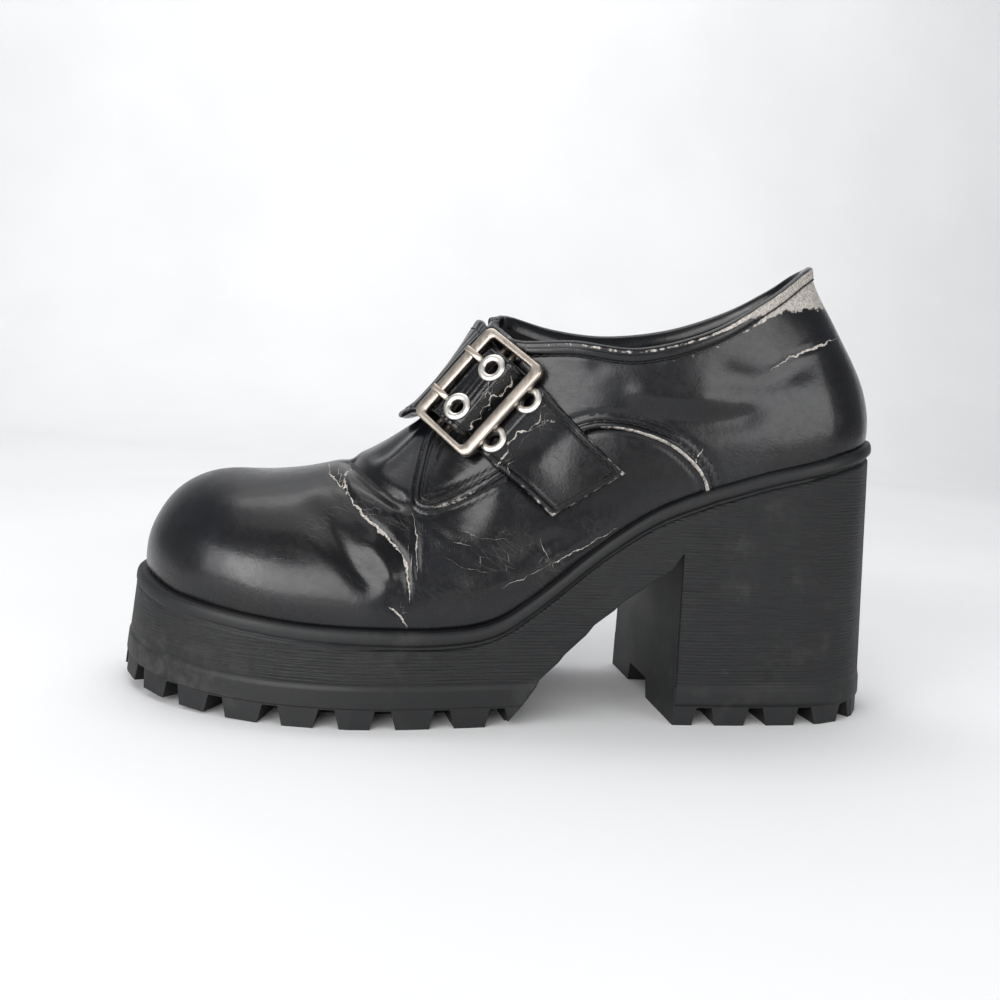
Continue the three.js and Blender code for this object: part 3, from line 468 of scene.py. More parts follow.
# %% Node helpers
def new_material(name):
    """A material with an empty tree and its Principled shader linked to the output."""
    material = bpy.data.materials.new(name)
    material.use_nodes = True
    tree = material.node_tree
    tree.nodes.clear()
    out = tree.nodes.new("ShaderNodeOutputMaterial")
    shader = tree.nodes.new("ShaderNodeBsdfPrincipled")
    tree.links.new(shader.outputs[0], out.inputs[0])
    return material, tree, shader


def fill(tree, made, inputs):
    """Puts a number, a hex colour or a link into each input, by a dictionary's names or a list's order."""
    for key, value in inputs.items() if isinstance(inputs, dict) else enumerate(inputs):
        if isinstance(value, bpy.types.NodeSocket):
            tree.links.new(value, made.inputs[key])
        else:
            made.inputs[key].default_value = colour(value) if isinstance(value, str) else value


def node(tree, kind, inputs=(), out=0, **settings):
    """Adds one node, sets its properties, fills its inputs and gives back one of its outputs."""
    made = tree.nodes.new("ShaderNode" + kind)
    for key, value in settings.items():
        setattr(made, key, value)
    fill(tree, made, inputs)
    return made.outputs[out]


SOFT = {"interpolation_type": "SMOOTHSTEP"}
RGB = {"data_type": "RGBA", "out": 2}
OBJECT = {"out": 3}


# %% [markdown]
# ## Coated synthetic leather
# Polyurethane on a woven backing, embossed with a fine grain and glossy when new. Where it cracks, the pale
# backing shows, matt and a little fibrous. The grain is about 0.9 mm, drawn as a cell pattern in the bump.
# Numbers painted on the skin say how far each point is from a crack or a seam, and noise makes those edges
# ragged. Beside each crack and in the stitch groove the black is darkened further, a painted shade.

# %% Leather: the patterns (scale, detail, roughness) and the numbers painted on the skin
LEATHER_NOISE = {
    "soft": (420.0, 3.0, 0.55), "large": (45.0, 3.0, 0.55), "cloud": (14.0, 4.0, 0.55),
    "ragged": (800.0, 4.0, 0.55), "wander": (240.0, 2.0, 0.55), "uneven": (170.0, 3.0, 0.55),
    "broken": (75.0, 4.0, 0.55), "patchy": (330.0, 6.0, 0.7), "fibre": (1400.0, 3.0, 0.55),
}
LEATHER_MARKS = ("crack_side", "crack_near", "crack_width", "worn", "flex", "panel", "edge_worn")
FOLD_AT, STITCH_AT = 0.35, 2.4


# %% Leather
def leather_material(name):
    """A glossy black coat over a fine grain; cracks, rubbed folds and fine nets of cracks show the backing.

    A crack is pale where its width, made uneven, is more than the distance to its line, made ragged."""
    material, tree, shader = new_material(name)
    at = node(tree, "TexCoord", **OBJECT)
    noise = {key: node(tree, "TexNoise", {"Vector": at, "Scale": scale, "Detail": detail, "Roughness": rough})
             for key, (scale, detail, rough) in LEATHER_NOISE.items()}
    mark = {key: node(tree, "Attribute", out=2, attribute_name=key) for key in LEATHER_MARKS}

    shade = node(tree, "MapRange", [noise["large"], 0.35, 0.7], **SOFT)
    black = node(tree, "Mix", {0: shade, 6: "0c0c0e", 7: "131419"}, **RGB)
    cloudy = node(tree, "MapRange", [noise["cloud"], 0.3, 0.7, 0.22, 0.33], **SOFT)
    speckled = node(tree, "MapRange", [noise["soft"], 0.3, 0.8, 0.0, 0.07], **SOFT)
    rough = node(tree, "Math", [cloudy, speckled], operation="ADD")
    grain = node(tree, "TexVoronoi", {"Vector": at, "Scale": 1150.0}, feature="F1")
    height = node(tree, "Math", [grain, 0.5, noise["soft"]], operation="MULTIPLY_ADD")
    normal = node(tree, "Bump", {"Height": height, "Strength": 0.25, "Distance": 0.00016})
    waves = {"Height": noise["large"], "Strength": 0.3, "Distance": 0.0012, "Normal": normal}
    normal = node(tree, "Bump", waves)

    ragged = node(tree, "Math", [noise["ragged"], 1.2, -1.8], operation="MULTIPLY_ADD")
    ragged = node(tree, "Math", [noise["wander"], 2.4, ragged], operation="MULTIPLY_ADD")
    off_line = node(tree, "Math", [mark["crack_side"], ragged], operation="ADD")
    off_line = node(tree, "Math", [off_line], operation="ABSOLUTE")
    uneven = node(tree, "MapRange", [noise["uneven"], 0.3, 0.6, 0.3, 1.15], **SOFT)
    width = node(tree, "Math", [mark["crack_width"], uneven], operation="MULTIPLY")
    over = node(tree, "Math", [width, off_line], operation="SUBTRACT")
    close = node(tree, "MapRange", [mark["crack_near"], 2.0, 2.8, 1.0, 0.0], **SOFT)
    crack = node(tree, "MapRange", [over, -0.03, 0.12, 0.0, close], **SOFT)
    # painted shade: the coat darkens in a band up to 0.75 mm beside each crack
    painted_crack_shade = node(tree, "MapRange", [over, -0.75, 0.0, 0.0, close], **SOFT)

    turned = node(tree, "Mapping", {"Vector": at, "Rotation": (0.0, np.radians(-32), 0.0)})
    drawn = node(tree, "Mapping", {"Vector": turned, "Scale": (0.45, 1.0, 1.7)})
    cells = node(tree, "TexVoronoi", {"Vector": drawn, "Scale": 300.0}, feature="DISTANCE_TO_EDGE")
    net = node(tree, "MapRange", [cells, 0.0, 0.04, mark["flex"], 0.0], **SOFT)
    net = node(tree, "MapRange", [noise["broken"], 0.5, 0.72, 0.0, net], **SOFT)

    patchy = node(tree, "Math", [noise["patchy"], 1.1, -0.55], operation="MULTIPLY_ADD")
    worn = node(tree, "Math", [mark["worn"], patchy], operation="ADD")
    worn = node(tree, "MapRange", [worn, 0.44, 0.54], **SOFT)
    off_fold = node(tree, "Math", [mark["panel"], FOLD_AT], operation="SUBTRACT")
    off_fold = node(tree, "Math", [off_fold], operation="ABSOLUTE")
    folded = node(tree, "MapRange", [off_fold, 0.3, 0.85, mark["edge_worn"], 0.0], **SOFT)
    folded = node(tree, "Math", [folded, patchy], operation="ADD")
    folded = node(tree, "MapRange", [folded, 0.42, 0.6], **SOFT)
    off_row = node(tree, "Math", [mark["panel"], STITCH_AT], operation="SUBTRACT")
    off_row = node(tree, "Math", [off_row], operation="ABSOLUTE")
    # the stitch groove: a real dip in the bump below, and painted shade in the colour
    groove = node(tree, "MapRange", [off_row, 0.15, 0.6, 1.0, 0.0], **SOFT)
    step = node(tree, "MapRange", [mark["panel"], -0.35, 0.35], **SOFT)

    pale = node(tree, "Math", [worn, folded], operation="MAXIMUM")
    pale = node(tree, "Math", [crack, pale], operation="MAXIMUM")
    thin = node(tree, "Math", [net, 0.3], operation="MULTIPLY")
    pale = node(tree, "Math", [pale, thin], operation="MAXIMUM")
    whole = node(tree, "MapRange", [groove, 0.2, 0.9, 1.0, 0.1], **SOFT)
    pale = node(tree, "Math", [pale, whole], operation="MULTIPLY")
    threads = node(tree, "MapRange", [noise["fibre"], 0.3, 0.7], **SOFT)
    backing = node(tree, "Mix", {0: threads, 6: "88837d", 7: "bfbab4"}, **RGB)
    # painted shade: beside each crack and in the stitch groove the coat is darkened towards 070708
    deep = node(tree, "Math", [painted_crack_shade, groove], operation="MAXIMUM")
    coat = node(tree, "Mix", {0: deep, 6: black, 7: "070708"}, **RGB)
    tone = node(tree, "Mix", {0: pale, 6: coat, 7: backing}, **RGB)
    rough = node(tree, "Math", [pale, 0.5, rough], operation="MULTIPLY_ADD")

    normal = node(tree, "Bump", {"Height": crack, "Strength": 0.8, "Distance": 0.0005, "Normal": normal},
                  invert=True)
    rubbed = node(tree, "Math", [net, worn], operation="MAXIMUM")
    normal = node(tree, "Bump", {"Height": rubbed, "Strength": 0.6, "Distance": 0.0003, "Normal": normal},
                  invert=True)
    seam = node(tree, "Math", [groove, -0.7, step], operation="MULTIPLY_ADD")
    normal = node(tree, "Bump", {"Height": seam, "Strength": 0.7, "Distance": 0.0006, "Normal": normal})
    fill(tree, shader, {"Base Color": tone, "Roughness": rough, "Normal": normal, "IOR": 1.47,
                        "Coat Weight": 0.2, "Coat Roughness": 0.14})
    return material


# %% [markdown]
# ## Rubber
# The sole is moulded rubber, matt from the fine texture of its mould. On its side the mould left fine ribs,
# some 1.1 mm apart, which wave a little and come and go. Dust and scuffs, palest at the toe, take the black
# off it. The ribs are a sine of the height; a slow noise bends them and another fades them.

# %% Rubber
RIB_PITCH, RIB_WAVE = 0.0011, 0.0022


def rubber_material(name, ribbed):
    """Matt black rubber with fine grit and patches of dust; ribbed adds ribs and scuffs where painted."""
    material, tree, shader = new_material(name)
    at = node(tree, "TexCoord", **OBJECT)
    grit = node(tree, "TexNoise", {"Vector": at, "Scale": 1600.0, "Detail": 4.0, "Roughness": 0.55})
    cloud = node(tree, "TexNoise", {"Vector": at, "Scale": 22.0, "Detail": 4.0, "Roughness": 0.55})
    motes = node(tree, "TexNoise", {"Vector": at, "Scale": 70.0, "Detail": 6.0, "Roughness": 0.7})
    patches = node(tree, "MapRange", [cloud, 0.35, 0.75], **SOFT)
    dust = node(tree, "MapRange", [motes, 0.5, 0.75, 0.0, patches], **SOFT)
    normal = node(tree, "Bump", {"Height": grit, "Strength": 0.35, "Distance": 0.00012})
    if ribbed:
        flatter = node(tree, "Mapping", {"Vector": at, "Scale": (1.0, 1.0, 2.5)})
        slow = node(tree, "TexNoise", {"Vector": flatter, "Scale": 14.0, "Detail": 3.0, "Roughness": 0.55})
        height = node(tree, "SeparateXYZ", [at], out=2)
        height = node(tree, "Math", [slow, RIB_WAVE, height], operation="MULTIPLY_ADD")
        phase = node(tree, "Math", [height, 2 * np.pi / RIB_PITCH], operation="MULTIPLY")
        ribs = node(tree, "Math", [phase], operation="SINE")
        coming = node(tree, "TexNoise", {"Vector": at, "Scale": 28.0, "Detail": 3.0, "Roughness": 0.55})
        coming = node(tree, "MapRange", [coming, 0.35, 0.7, 0.15, 0.7], **SOFT)
        ribs = node(tree, "Math", [ribs, coming], operation="MULTIPLY")
        drawn = node(tree, "Mapping", {"Vector": at, "Scale": (1.0, 1.0, 26.0)})
        scratch = node(tree, "TexNoise", {"Vector": drawn, "Scale": 60.0, "Detail": 5.0, "Roughness": 0.65})
        relief = node(tree, "Math", [scratch, 5.0, ribs], operation="MULTIPLY_ADD")
        where = node(tree, "Attribute", out=2, attribute_name="ribbed")
        relief = node(tree, "Math", [relief, where], operation="MULTIPLY")
        lined = {"Height": relief, "Strength": 0.55, "Distance": 0.00022, "Normal": normal}
        normal = node(tree, "Bump", lined)
        flakes = node(tree, "TexNoise", {"Vector": at, "Scale": 160.0, "Detail": 6.0, "Roughness": 0.75})
        where = node(tree, "Attribute", out=2, attribute_name="scuffed")
        scuffs = node(tree, "MapRange", [flakes, 0.42, 0.62, 0.0, where], **SOFT)
        dust = node(tree, "Math", [dust, scuffs], operation="MAXIMUM")
    shade = node(tree, "MapRange", [cloud, 0.3, 0.75], **SOFT)
    tone = node(tree, "Mix", {0: shade, 6: "0d0e10", 7: "151618"}, **RGB)
    thin = node(tree, "Math", [dust, 0.3], operation="MULTIPLY")
    tone = node(tree, "Mix", {0: thin, 6: tone, 7: "5a5956"}, **RGB)
    rough = node(tree, "MapRange", [cloud, 0.3, 0.7, 0.46, 0.6], **SOFT)
    fill(tree, shader, {"Base Color": tone, "Roughness": rough, "Normal": normal, "IOR": 1.52})
    return material


# %% [markdown]
# ## Lining, metal and thread
# The lining is knitted polyester, dark, matt, with a little sheen. Buckle and prongs are a zinc casting
# plated with satin nickel, a warm grey with soft handling marks; the eyelets are rubbed brighter. A metal
# keeps the shader's default IOR. The thread is bonded polyester, matt, with its twist just seen.

# %% Lining, metal and thread
def lining_material(name, light, dark):
    """Rows of knitting 2 mm apart, coarser than real so that they show, in the bump; two dark tones."""
    material, tree, shader = new_material(name)
    at = node(tree, "TexCoord", **OBJECT)
    rows = node(tree, "TexWave", {"Vector": at, "Scale": 160.0, "Distortion": 3.0, "Detail": 2.0})
    fuzz = node(tree, "TexNoise", {"Vector": at, "Scale": 900.0, "Detail": 3.0, "Roughness": 0.55})
    cloud = node(tree, "TexNoise", {"Vector": at, "Scale": 60.0, "Detail": 5.0, "Roughness": 0.55})
    shade = node(tree, "MapRange", [cloud, 0.3, 0.75], **SOFT)
    tone = node(tree, "Mix", {0: shade, 6: dark, 7: light}, **RGB)
    height = node(tree, "Math", [rows, fuzz], operation="ADD")
    normal = node(tree, "Bump", {"Height": height, "Strength": 0.3, "Distance": 0.0003})
    fill(tree, shader, {"Base Color": tone, "Normal": normal, "Roughness": 0.85, "Sheen Weight": 0.15})
    return material


def nickel_material(name, light, dark):
    """Satin metal: a fine rub along z changes its roughness and bump, and a wider noise its tone."""
    material, tree, shader = new_material(name)
    at = node(tree, "TexCoord", **OBJECT)
    drawn = node(tree, "Mapping", {"Vector": at, "Scale": (1.0, 1.0, 0.2)})
    rub = node(tree, "TexNoise", {"Vector": drawn, "Scale": 900.0, "Detail": 5.0, "Roughness": 0.55})
    cloud = node(tree, "TexNoise", {"Vector": at, "Scale": 120.0, "Detail": 4.0, "Roughness": 0.55})
    shade = node(tree, "MapRange", [cloud, 0.35, 0.7], **SOFT)
    tone = node(tree, "Mix", {0: shade, 6: light, 7: dark}, **RGB)
    rough = node(tree, "MapRange", [rub, 0.3, 0.75, 0.28, 0.42], **SOFT)
    normal = node(tree, "Bump", {"Height": rub, "Strength": 0.12, "Distance": 0.0001})
    fill(tree, shader, {"Base Color": tone, "Roughness": rough, "Normal": normal, "Metallic": 1.0})
    return material


def thread_material(name, black, grey):
    """Matt thread: one fine noise is its twist, in tone and bump."""
    material, tree, shader = new_material(name)
    at = node(tree, "TexCoord", **OBJECT)
    twist = node(tree, "TexNoise", {"Vector": at, "Scale": 2500.0, "Detail": 2.0, "Roughness": 0.55})
    tone = node(tree, "Mix", {0: twist, 6: black, 7: grey}, **RGB)
    normal = node(tree, "Bump", {"Height": twist, "Strength": 0.4, "Distance": 0.0001})
    fill(tree, shader, {"Base Color": tone, "Normal": normal, "Roughness": 0.6})
    return material


leather = leather_material("coated_synthetic_leather")
side_rubber = rubber_material("moulded_rubber_ribbed", True)
tread_rubber = rubber_material("moulded_rubber_plain", False)
lining = lining_material("knitted_lining", "131212", "0a0a0a")
nickel = nickel_material("satin_nickel", "bcb3a9", "a89f95")
bright_nickel = nickel_material("rubbed_nickel", "dcd9d4", "c4c0ba")
thread = thread_material("black_thread", "0d0d0e", "1d1d1f")
print(len(bpy.data.materials), "materials")


# %% [markdown]
# ## The upper's skin
# The leather is one closed shell. Its outside has a column every 0.9 mm round the shoe and a row every 0.9
# mm up. Relief moves each point along the normal: the quarters' step, the creases, and a slow unevenness as
# in any worn upper. The inside is the lining, coarser because it is smooth.

# %% Relief of the upper
def relief_of(p):
    """What lifts the skin, in mm: the quarter's step and folded edge, creases, a soft unevenness."""
    depth = into_quarter(p)
    signed, near, width, creases = marks(p)
    step = 1.25 * smooth(depth, -0.7, 0.5) + 0.3 * bump(depth, 1.3, 0.9) - 0.25 * bump(depth, 2.5, 0.8)
    step = step + 0.15 * bump(depth, 3.6, 0.7) - 0.3 * bump(depth, 4.9, 0.9) - 0.3 * bump(depth, -1.2, 0.8)
    x, y, z = p[..., 0], p[..., 1], p[..., 2]
    uneven = 0.16 * np.sin(x / 7.3 + 1.3 * np.sin(z / 9.1)) * np.sin(z / 6.1 + y / 8.7)
    return step + creases + uneven, depth, signed, near, width


# %% Upper
# How deep the shell goes into the sole, the lining's depth, the roll over the collar, its stitched band
SUNK, LINING_AT, ROLL_IN, ROLL_UP, COLLAR_BAND = 1.2, 1.9, 1.6, 1.1, 7


def shell_of_upper(columns=700, rows=96, inner_rows=14):
    """The closed shell: outside rows, four rows rolled over the collar, lining rows, all round the ring.

    Beside the shape it works out what is painted on it: cracks, seams, and where the coat is rubbed."""
    q = np.arange(columns) * RING / columns
    v = np.linspace(0, 1, rows)
    qq, vv = np.meshgrid(q, v)
    p = upper(qq, vv)
    n = normal_of(qq, vv)
    mirror = (-np.arange(columns)) % columns
    station = np.where(q > HEEL, RING - q, q)
    ridge = station <= THROAT
    top = n[-1].copy()
    top[ridge] = top[ridge] + top[mirror][ridge]
    n[-1] = top / np.maximum(np.linalg.norm(top, axis=-1, keepdims=True), 1e-9)
    lift, depth, signed, near, width = relief_of(p)
    wall = np.linalg.norm(p[-1] - p[-8], axis=-1) * (rows - 1) / 7
    below = (1 - vv) * wall[None] + 30 * (1 - smooth(station, THROAT, THROAT + 0.7))[None]
    lift = lift + 0.55 * (1 - smooth(below, 3.2, 4.4)) - 0.3 * bump(below, 3.7, 0.7)
    outer = p + n * lift[..., None]
    outer[0, :, 2] -= SUNK
    edge, edge_n = outer[-1], n[-1]
    up = np.array([0, 0, 1.0])
    roll = []
    for angle in np.radians([35, 75, 105, 145]):
        roll.append(edge - edge_n * ROLL_IN * (1 - np.cos(angle)) + up * ROLL_UP * np.sin(angle))
    roll = np.array(roll)
    vi = np.linspace(1, 0, inner_rows)
    qi, vi = np.meshgrid(q, vi)
    ni = normal_of(qi, vi)
    ni[0] = n[-1]
    inner = upper(qi, vi) - ni * LINING_AT
    inner[-1, :, 2] -= SUNK
    roll[:, ridge] = np.nan
    points = np.concatenate([outer, roll, inner])
    total = len(points)
    faces = grid_faces(total, columns, close_rows=True, close_columns=True)
    finite = np.isfinite(points).all(axis=-1).ravel()
    faces = faces[finite[faces].all(axis=1)]
    first_lining_row = rows + 5
    slots = (faces[:, 0] // columns >= first_lining_row).astype(int)
    points = np.where(np.isfinite(points), points, np.repeat(edge[None], total, axis=0))
    blank = np.zeros((total - rows, columns))
    x, y, z = p[..., 0], p[..., 1], p[..., 2]
    outside = smooth(-y, 0, 4)
    patch = 1 - smooth(below, 9 * smooth(x, 70, 104), 4 + 12 * smooth(x, 60, 104))
    peeled = 0.85 * outside * smooth(x, 52, 84) * patch
    rubbed = 0.5 * bump(below, 0.3, 0.9) + 0.42 * bump(below, 4.9, 0.7) * smooth(x, -20, 60)
    worn = np.clip(rubbed + peeled, 0, 1.3)
    edge_worn = (0.34 + 0.28 * smooth(x, 14, 44)) * (depth > -30) * smooth(x, -44, -30) * outside
    edge_worn = edge_worn + 0.12 * bump(z, 68, 7) * bump(x, -22, 14) * outside
    bent = bump(x, -6, 24) * bump(z, 54, 13) + 0.5 * bump(x, -52, 14) * bump(z, 66, 14)
    flex = np.clip(bent, 0, 1) * (y < 0)
    panel = np.where(below < COLLAR_BAND, below - 1.3, depth)
    edge_worn = edge_worn * (below >= COLLAR_BAND)
    attributes = {
        "crack_side": np.vstack([signed, blank + FAR]),
        "crack_near": np.vstack([near, blank + FAR]),
        "panel": np.vstack([panel, blank - FAR]),
        **{key: np.vstack([values, blank]) for key, values in
           (("crack_width", width), ("worn", worn), ("flex", flex), ("edge_worn", edge_worn))},
    }
    return make_mesh("upper_leather", points, faces, [leather, lining], slots, attributes, merge=2e-6)


upper_piece = finish_piece(shell_of_upper(), "leather", "upper", "quarter_outer", "quarter_inner")


# %% [markdown]
# ## The strap
# One piece of leather comes over the instep from the inner side, passes under the buckle's first bar, humps
# over the two cross bars, goes under the last bar and ends in a square tail. Its surface is found on the
# last: for each station and each place across it, the height on the rib is searched so that the point lies
# at the wanted distance along the buckle's bars. The section is closed, with rounded edges.

# %% Sizes of the strap and the buckle, and the buckle's own frame
# Where the buckle sits on the last, and how far its middle stands off
BUCKLE_RIB, BUCKLE_RISE, LIFT = 8.75, 0.61, 6.5
# Strap: thickness, height over the skin, half widths of strap and band, ends of the tail and of the band
STRAP, TUCK, NARROW, BAND_HALF, TAIL, BAND_END = 2.4, 1.8, 14.25, 17.75, 42.0, 14.0
# Half width where the buckle holds it, and the ribs between which the strap is looked for
SNUG, FIRST_RIB, LAST_RIB = 14.6, 6.2, 13.2
# Frame: its outside, its thickness, the width of its long and side bars, its corner
FRAME_LONG, FRAME_ACROSS, FRAME_THICK, LONG_BAR, SIDE_BAR, CORNER = 38.0, 27.5, 2.6, 4.0, 2.4, 3.0
# Cross bars: thickness, distance, middle in u, depth below the frame's middle
CROSS, CROSS_PITCH, CROSS_MIDDLE, CROSS_DROP = 2.0, 4.0, -1.5, 0.8
# Eyelets: rim, hole, height over the strap, spacing across and along; then the prong's width
EYELET, HOLE, PROUD, SPACING, PITCH_ALONG = 9.4, 4.6, 0.5, 16.6, 14.5
PRONG = 2.2
RIDGE_Y = BALL * 0.025 + SHIFT
seat = upper(BUCKLE_RIB, BUCKLE_RISE)
seat_n = np.cross(upper(BUCKLE_RIB + 0.05, BUCKLE_RISE) - seat, upper(BUCKLE_RIB, BUCKLE_RISE + 0.01) - seat)
seat_n = seat_n / np.linalg.norm(seat_n)
heading = np.array([0.628, 0.014, 0.778])
bar_dir = heading - seat_n * (heading @ seat_n)
bar_dir = bar_dir / np.linalg.norm(bar_dir)
tail_dir = np.cross(bar_dir, seat_n)
AXES = np.stack([tail_dir, bar_dir, seat_n])
middle = seat + seat_n * LIFT
print("buckle at", middle.round(1), "mm")


def local(p):
    """World mm to (u, t, w): u towards the tail, t along the bars, w out of the shoe."""
    return (p - middle) @ AXES.T


def world_of(p):
    """(u, t, w) back to world mm."""
    return np.asarray(p, float) @ AXES + middle


def strap_bed(u):
    """Underside of the strap in w: flat over the cross bars, low under the long bars, then falling."""
    under = -(FRAME_THICK / 2 + 3 * GAP + PROUD + STRAP)
    over = CROSS / 2 - CROSS_DROP + 2 * GAP
    hump = 1 - smooth(np.abs(u + 0.4), 4.6, 9.4)
    return under + (over - under) * hump - 0.9 * np.maximum(0, np.abs(u) - 17)


def strap_half(u):
    """Middle and half width of the strap at u: a band that widens to the toe over the ridge, and a tail."""
    spread = smooth(-u, 12.75, 21.5)
    band = smooth(-u, 10.6, 13.4)
    tail = smooth(u, 8, 45)
    low = -SNUG + 0.2 * tail - (BAND_HALF - SNUG) * band - 7.0 * spread
    high = SNUG - 2.6 * tail + (BAND_HALF - SNUG) * band + 2.6 * spread
    return (low + high) / 2, (high - low) / 2


def tail_end(t):
    """The tail is cut a little askew: its end at t along the bars, in u."""
    return 42.2 + 0.22 * t


def strap_path(side, ends, count, across):
    """Ribs and heights of the strap on one side: stations in rows from the ridge on, places across it.

    On each rib the height is found by halving the range 26 times, until the point lies as far along the
    buckle's bars as strap_half says. Then each column is walked in equal steps up to its end."""
    flip = np.array([1, -1, 1])

    def place(q, v):
        """A point of the upper's outside; the inner side is mirrored at the ridge."""
        if side < 0:
            return upper(q, v)
        return (upper(RING - q, v) - [0, RIDGE_Y, 0]) * flip + [0, RIDGE_Y, 0]

    def wanted(u):
        """How far along the bars each place across lies at u."""
        centre, half = strap_half(u)
        return centre + across * (half if side < 0 else np.maximum(half, BAND_HALF))

    station = np.linspace(FIRST_RIB, LAST_RIB, 260)
    ridge = local(place(station, np.ones(260)))
    centre, half = strap_half(ridge[:, 0])
    start = np.array([np.interp(0, ridge[:, 1] - centre - t * half, station) for t in across])
    q = start + (LAST_RIB - start) * np.linspace(0, 1, 200)[:, None]
    low, high = np.full(q.shape, 0.1), np.ones(q.shape)
    for _ in range(26):
        v = (low + high) / 2
        at = local(place(q, v))
        short = at[..., 1] < wanted(at[..., 0])
        low, high = np.where(short, v, low), np.where(short, high, v)
    v[0] = 1.0
    p = place(q, v)
    u = local(p)[..., 0]
    steps = np.linalg.norm(np.diff(p, axis=0), axis=-1)
    walked = np.concatenate([np.zeros((1, len(across))), np.cumsum(steps, axis=0)])
    out = []
    for k in range(len(across)):
        places = np.linspace(0, np.interp(ends[k], u[:, k], walked[:, k]), count)
        out.append([np.interp(places, walked[:, k], q[:, k]), np.interp(places, walked[:, k], v[:, k])])
    return np.array(out).transpose(1, 2, 0)


# %% Middle of the strap
def strap_surface():
    """Stations in rows from the sewn inner end over the ridge to the tail, places across as columns."""
    near_edge = np.array([0.88, 0.925, 0.96, 0.985, 1])
    across = np.concatenate([-near_edge[::-1], np.linspace(-0.82, 0.82, 34), near_edge])
    q_out, v_out = strap_path(-1, tail_end(across * 14), 150, across)
    q_in, v_in = strap_path(1, np.full(len(across), BAND_END), 90, across)
    q = np.vstack([RING - q_in[::-1][:-1], q_out])
    v = np.vstack([v_in[::-1][:-1], v_out])
    p, n = upper(q, v), normal_of(q, v)
    crest = len(q_in) - 1
    n[crest] = n[crest - 1] + n[crest + 1]
    for _ in range(3):
        n[1:-1] = n[:-2] + 2 * n[1:-1] + n[2:]
        n /= np.linalg.norm(n, axis=-1, keepdims=True)
    base = p + n * TUCK
    at = local(base)
    held = (1 - smooth(np.abs(at[..., 0]), 18, 30)) * smooth(n @ seat_n, 0.1, 0.5)
    outer_rows = (np.arange(len(q)) >= crest)[:, None]
    held = held * outer_rows
    base = base + seat_n * (held * np.maximum(0, strap_bed(at[..., 0]) - at[..., 2]))[..., None]
    up = n * (1 - held)[..., None] + seat_n * held[..., None]
    up /= np.linalg.norm(up, axis=-1, keepdims=True)
    keep = base.copy()
    for _ in range(24):
        base[1:-1] = 0.25 * base[:-2] + 0.5 * base[1:-1] + 0.25 * base[2:]
    near_crest = bump(np.arange(len(q)), crest, 14)[:, None, None]
    base = keep + (base - keep) * np.clip(near_crest + 0.35, 0, 1)
    front = smooth(-local(base)[..., 1], 14, 25) * bump(np.arange(len(q)), crest + 14, 22)[:, None]
    base = base + up * (1.3 * front)[..., None]
    return base, up, across, crest


# %% Section, wrinkles and cracks of the strap
# Table of cracks: place in u, width, sway, from t to t
STRAP_CRACKS = (
    (19.6, 0.26, 0.8, -15, 13), (22.8, 0.16, 0.7, -15, -7), (22.4, 0.2, 0.6, 5, 13),
    (6.4, 0.26, 0.6, -12, 11), (-9.0, 0.2, 0.4, -14, 13), (3.6, 0.13, 0.6, -2, 13),
)


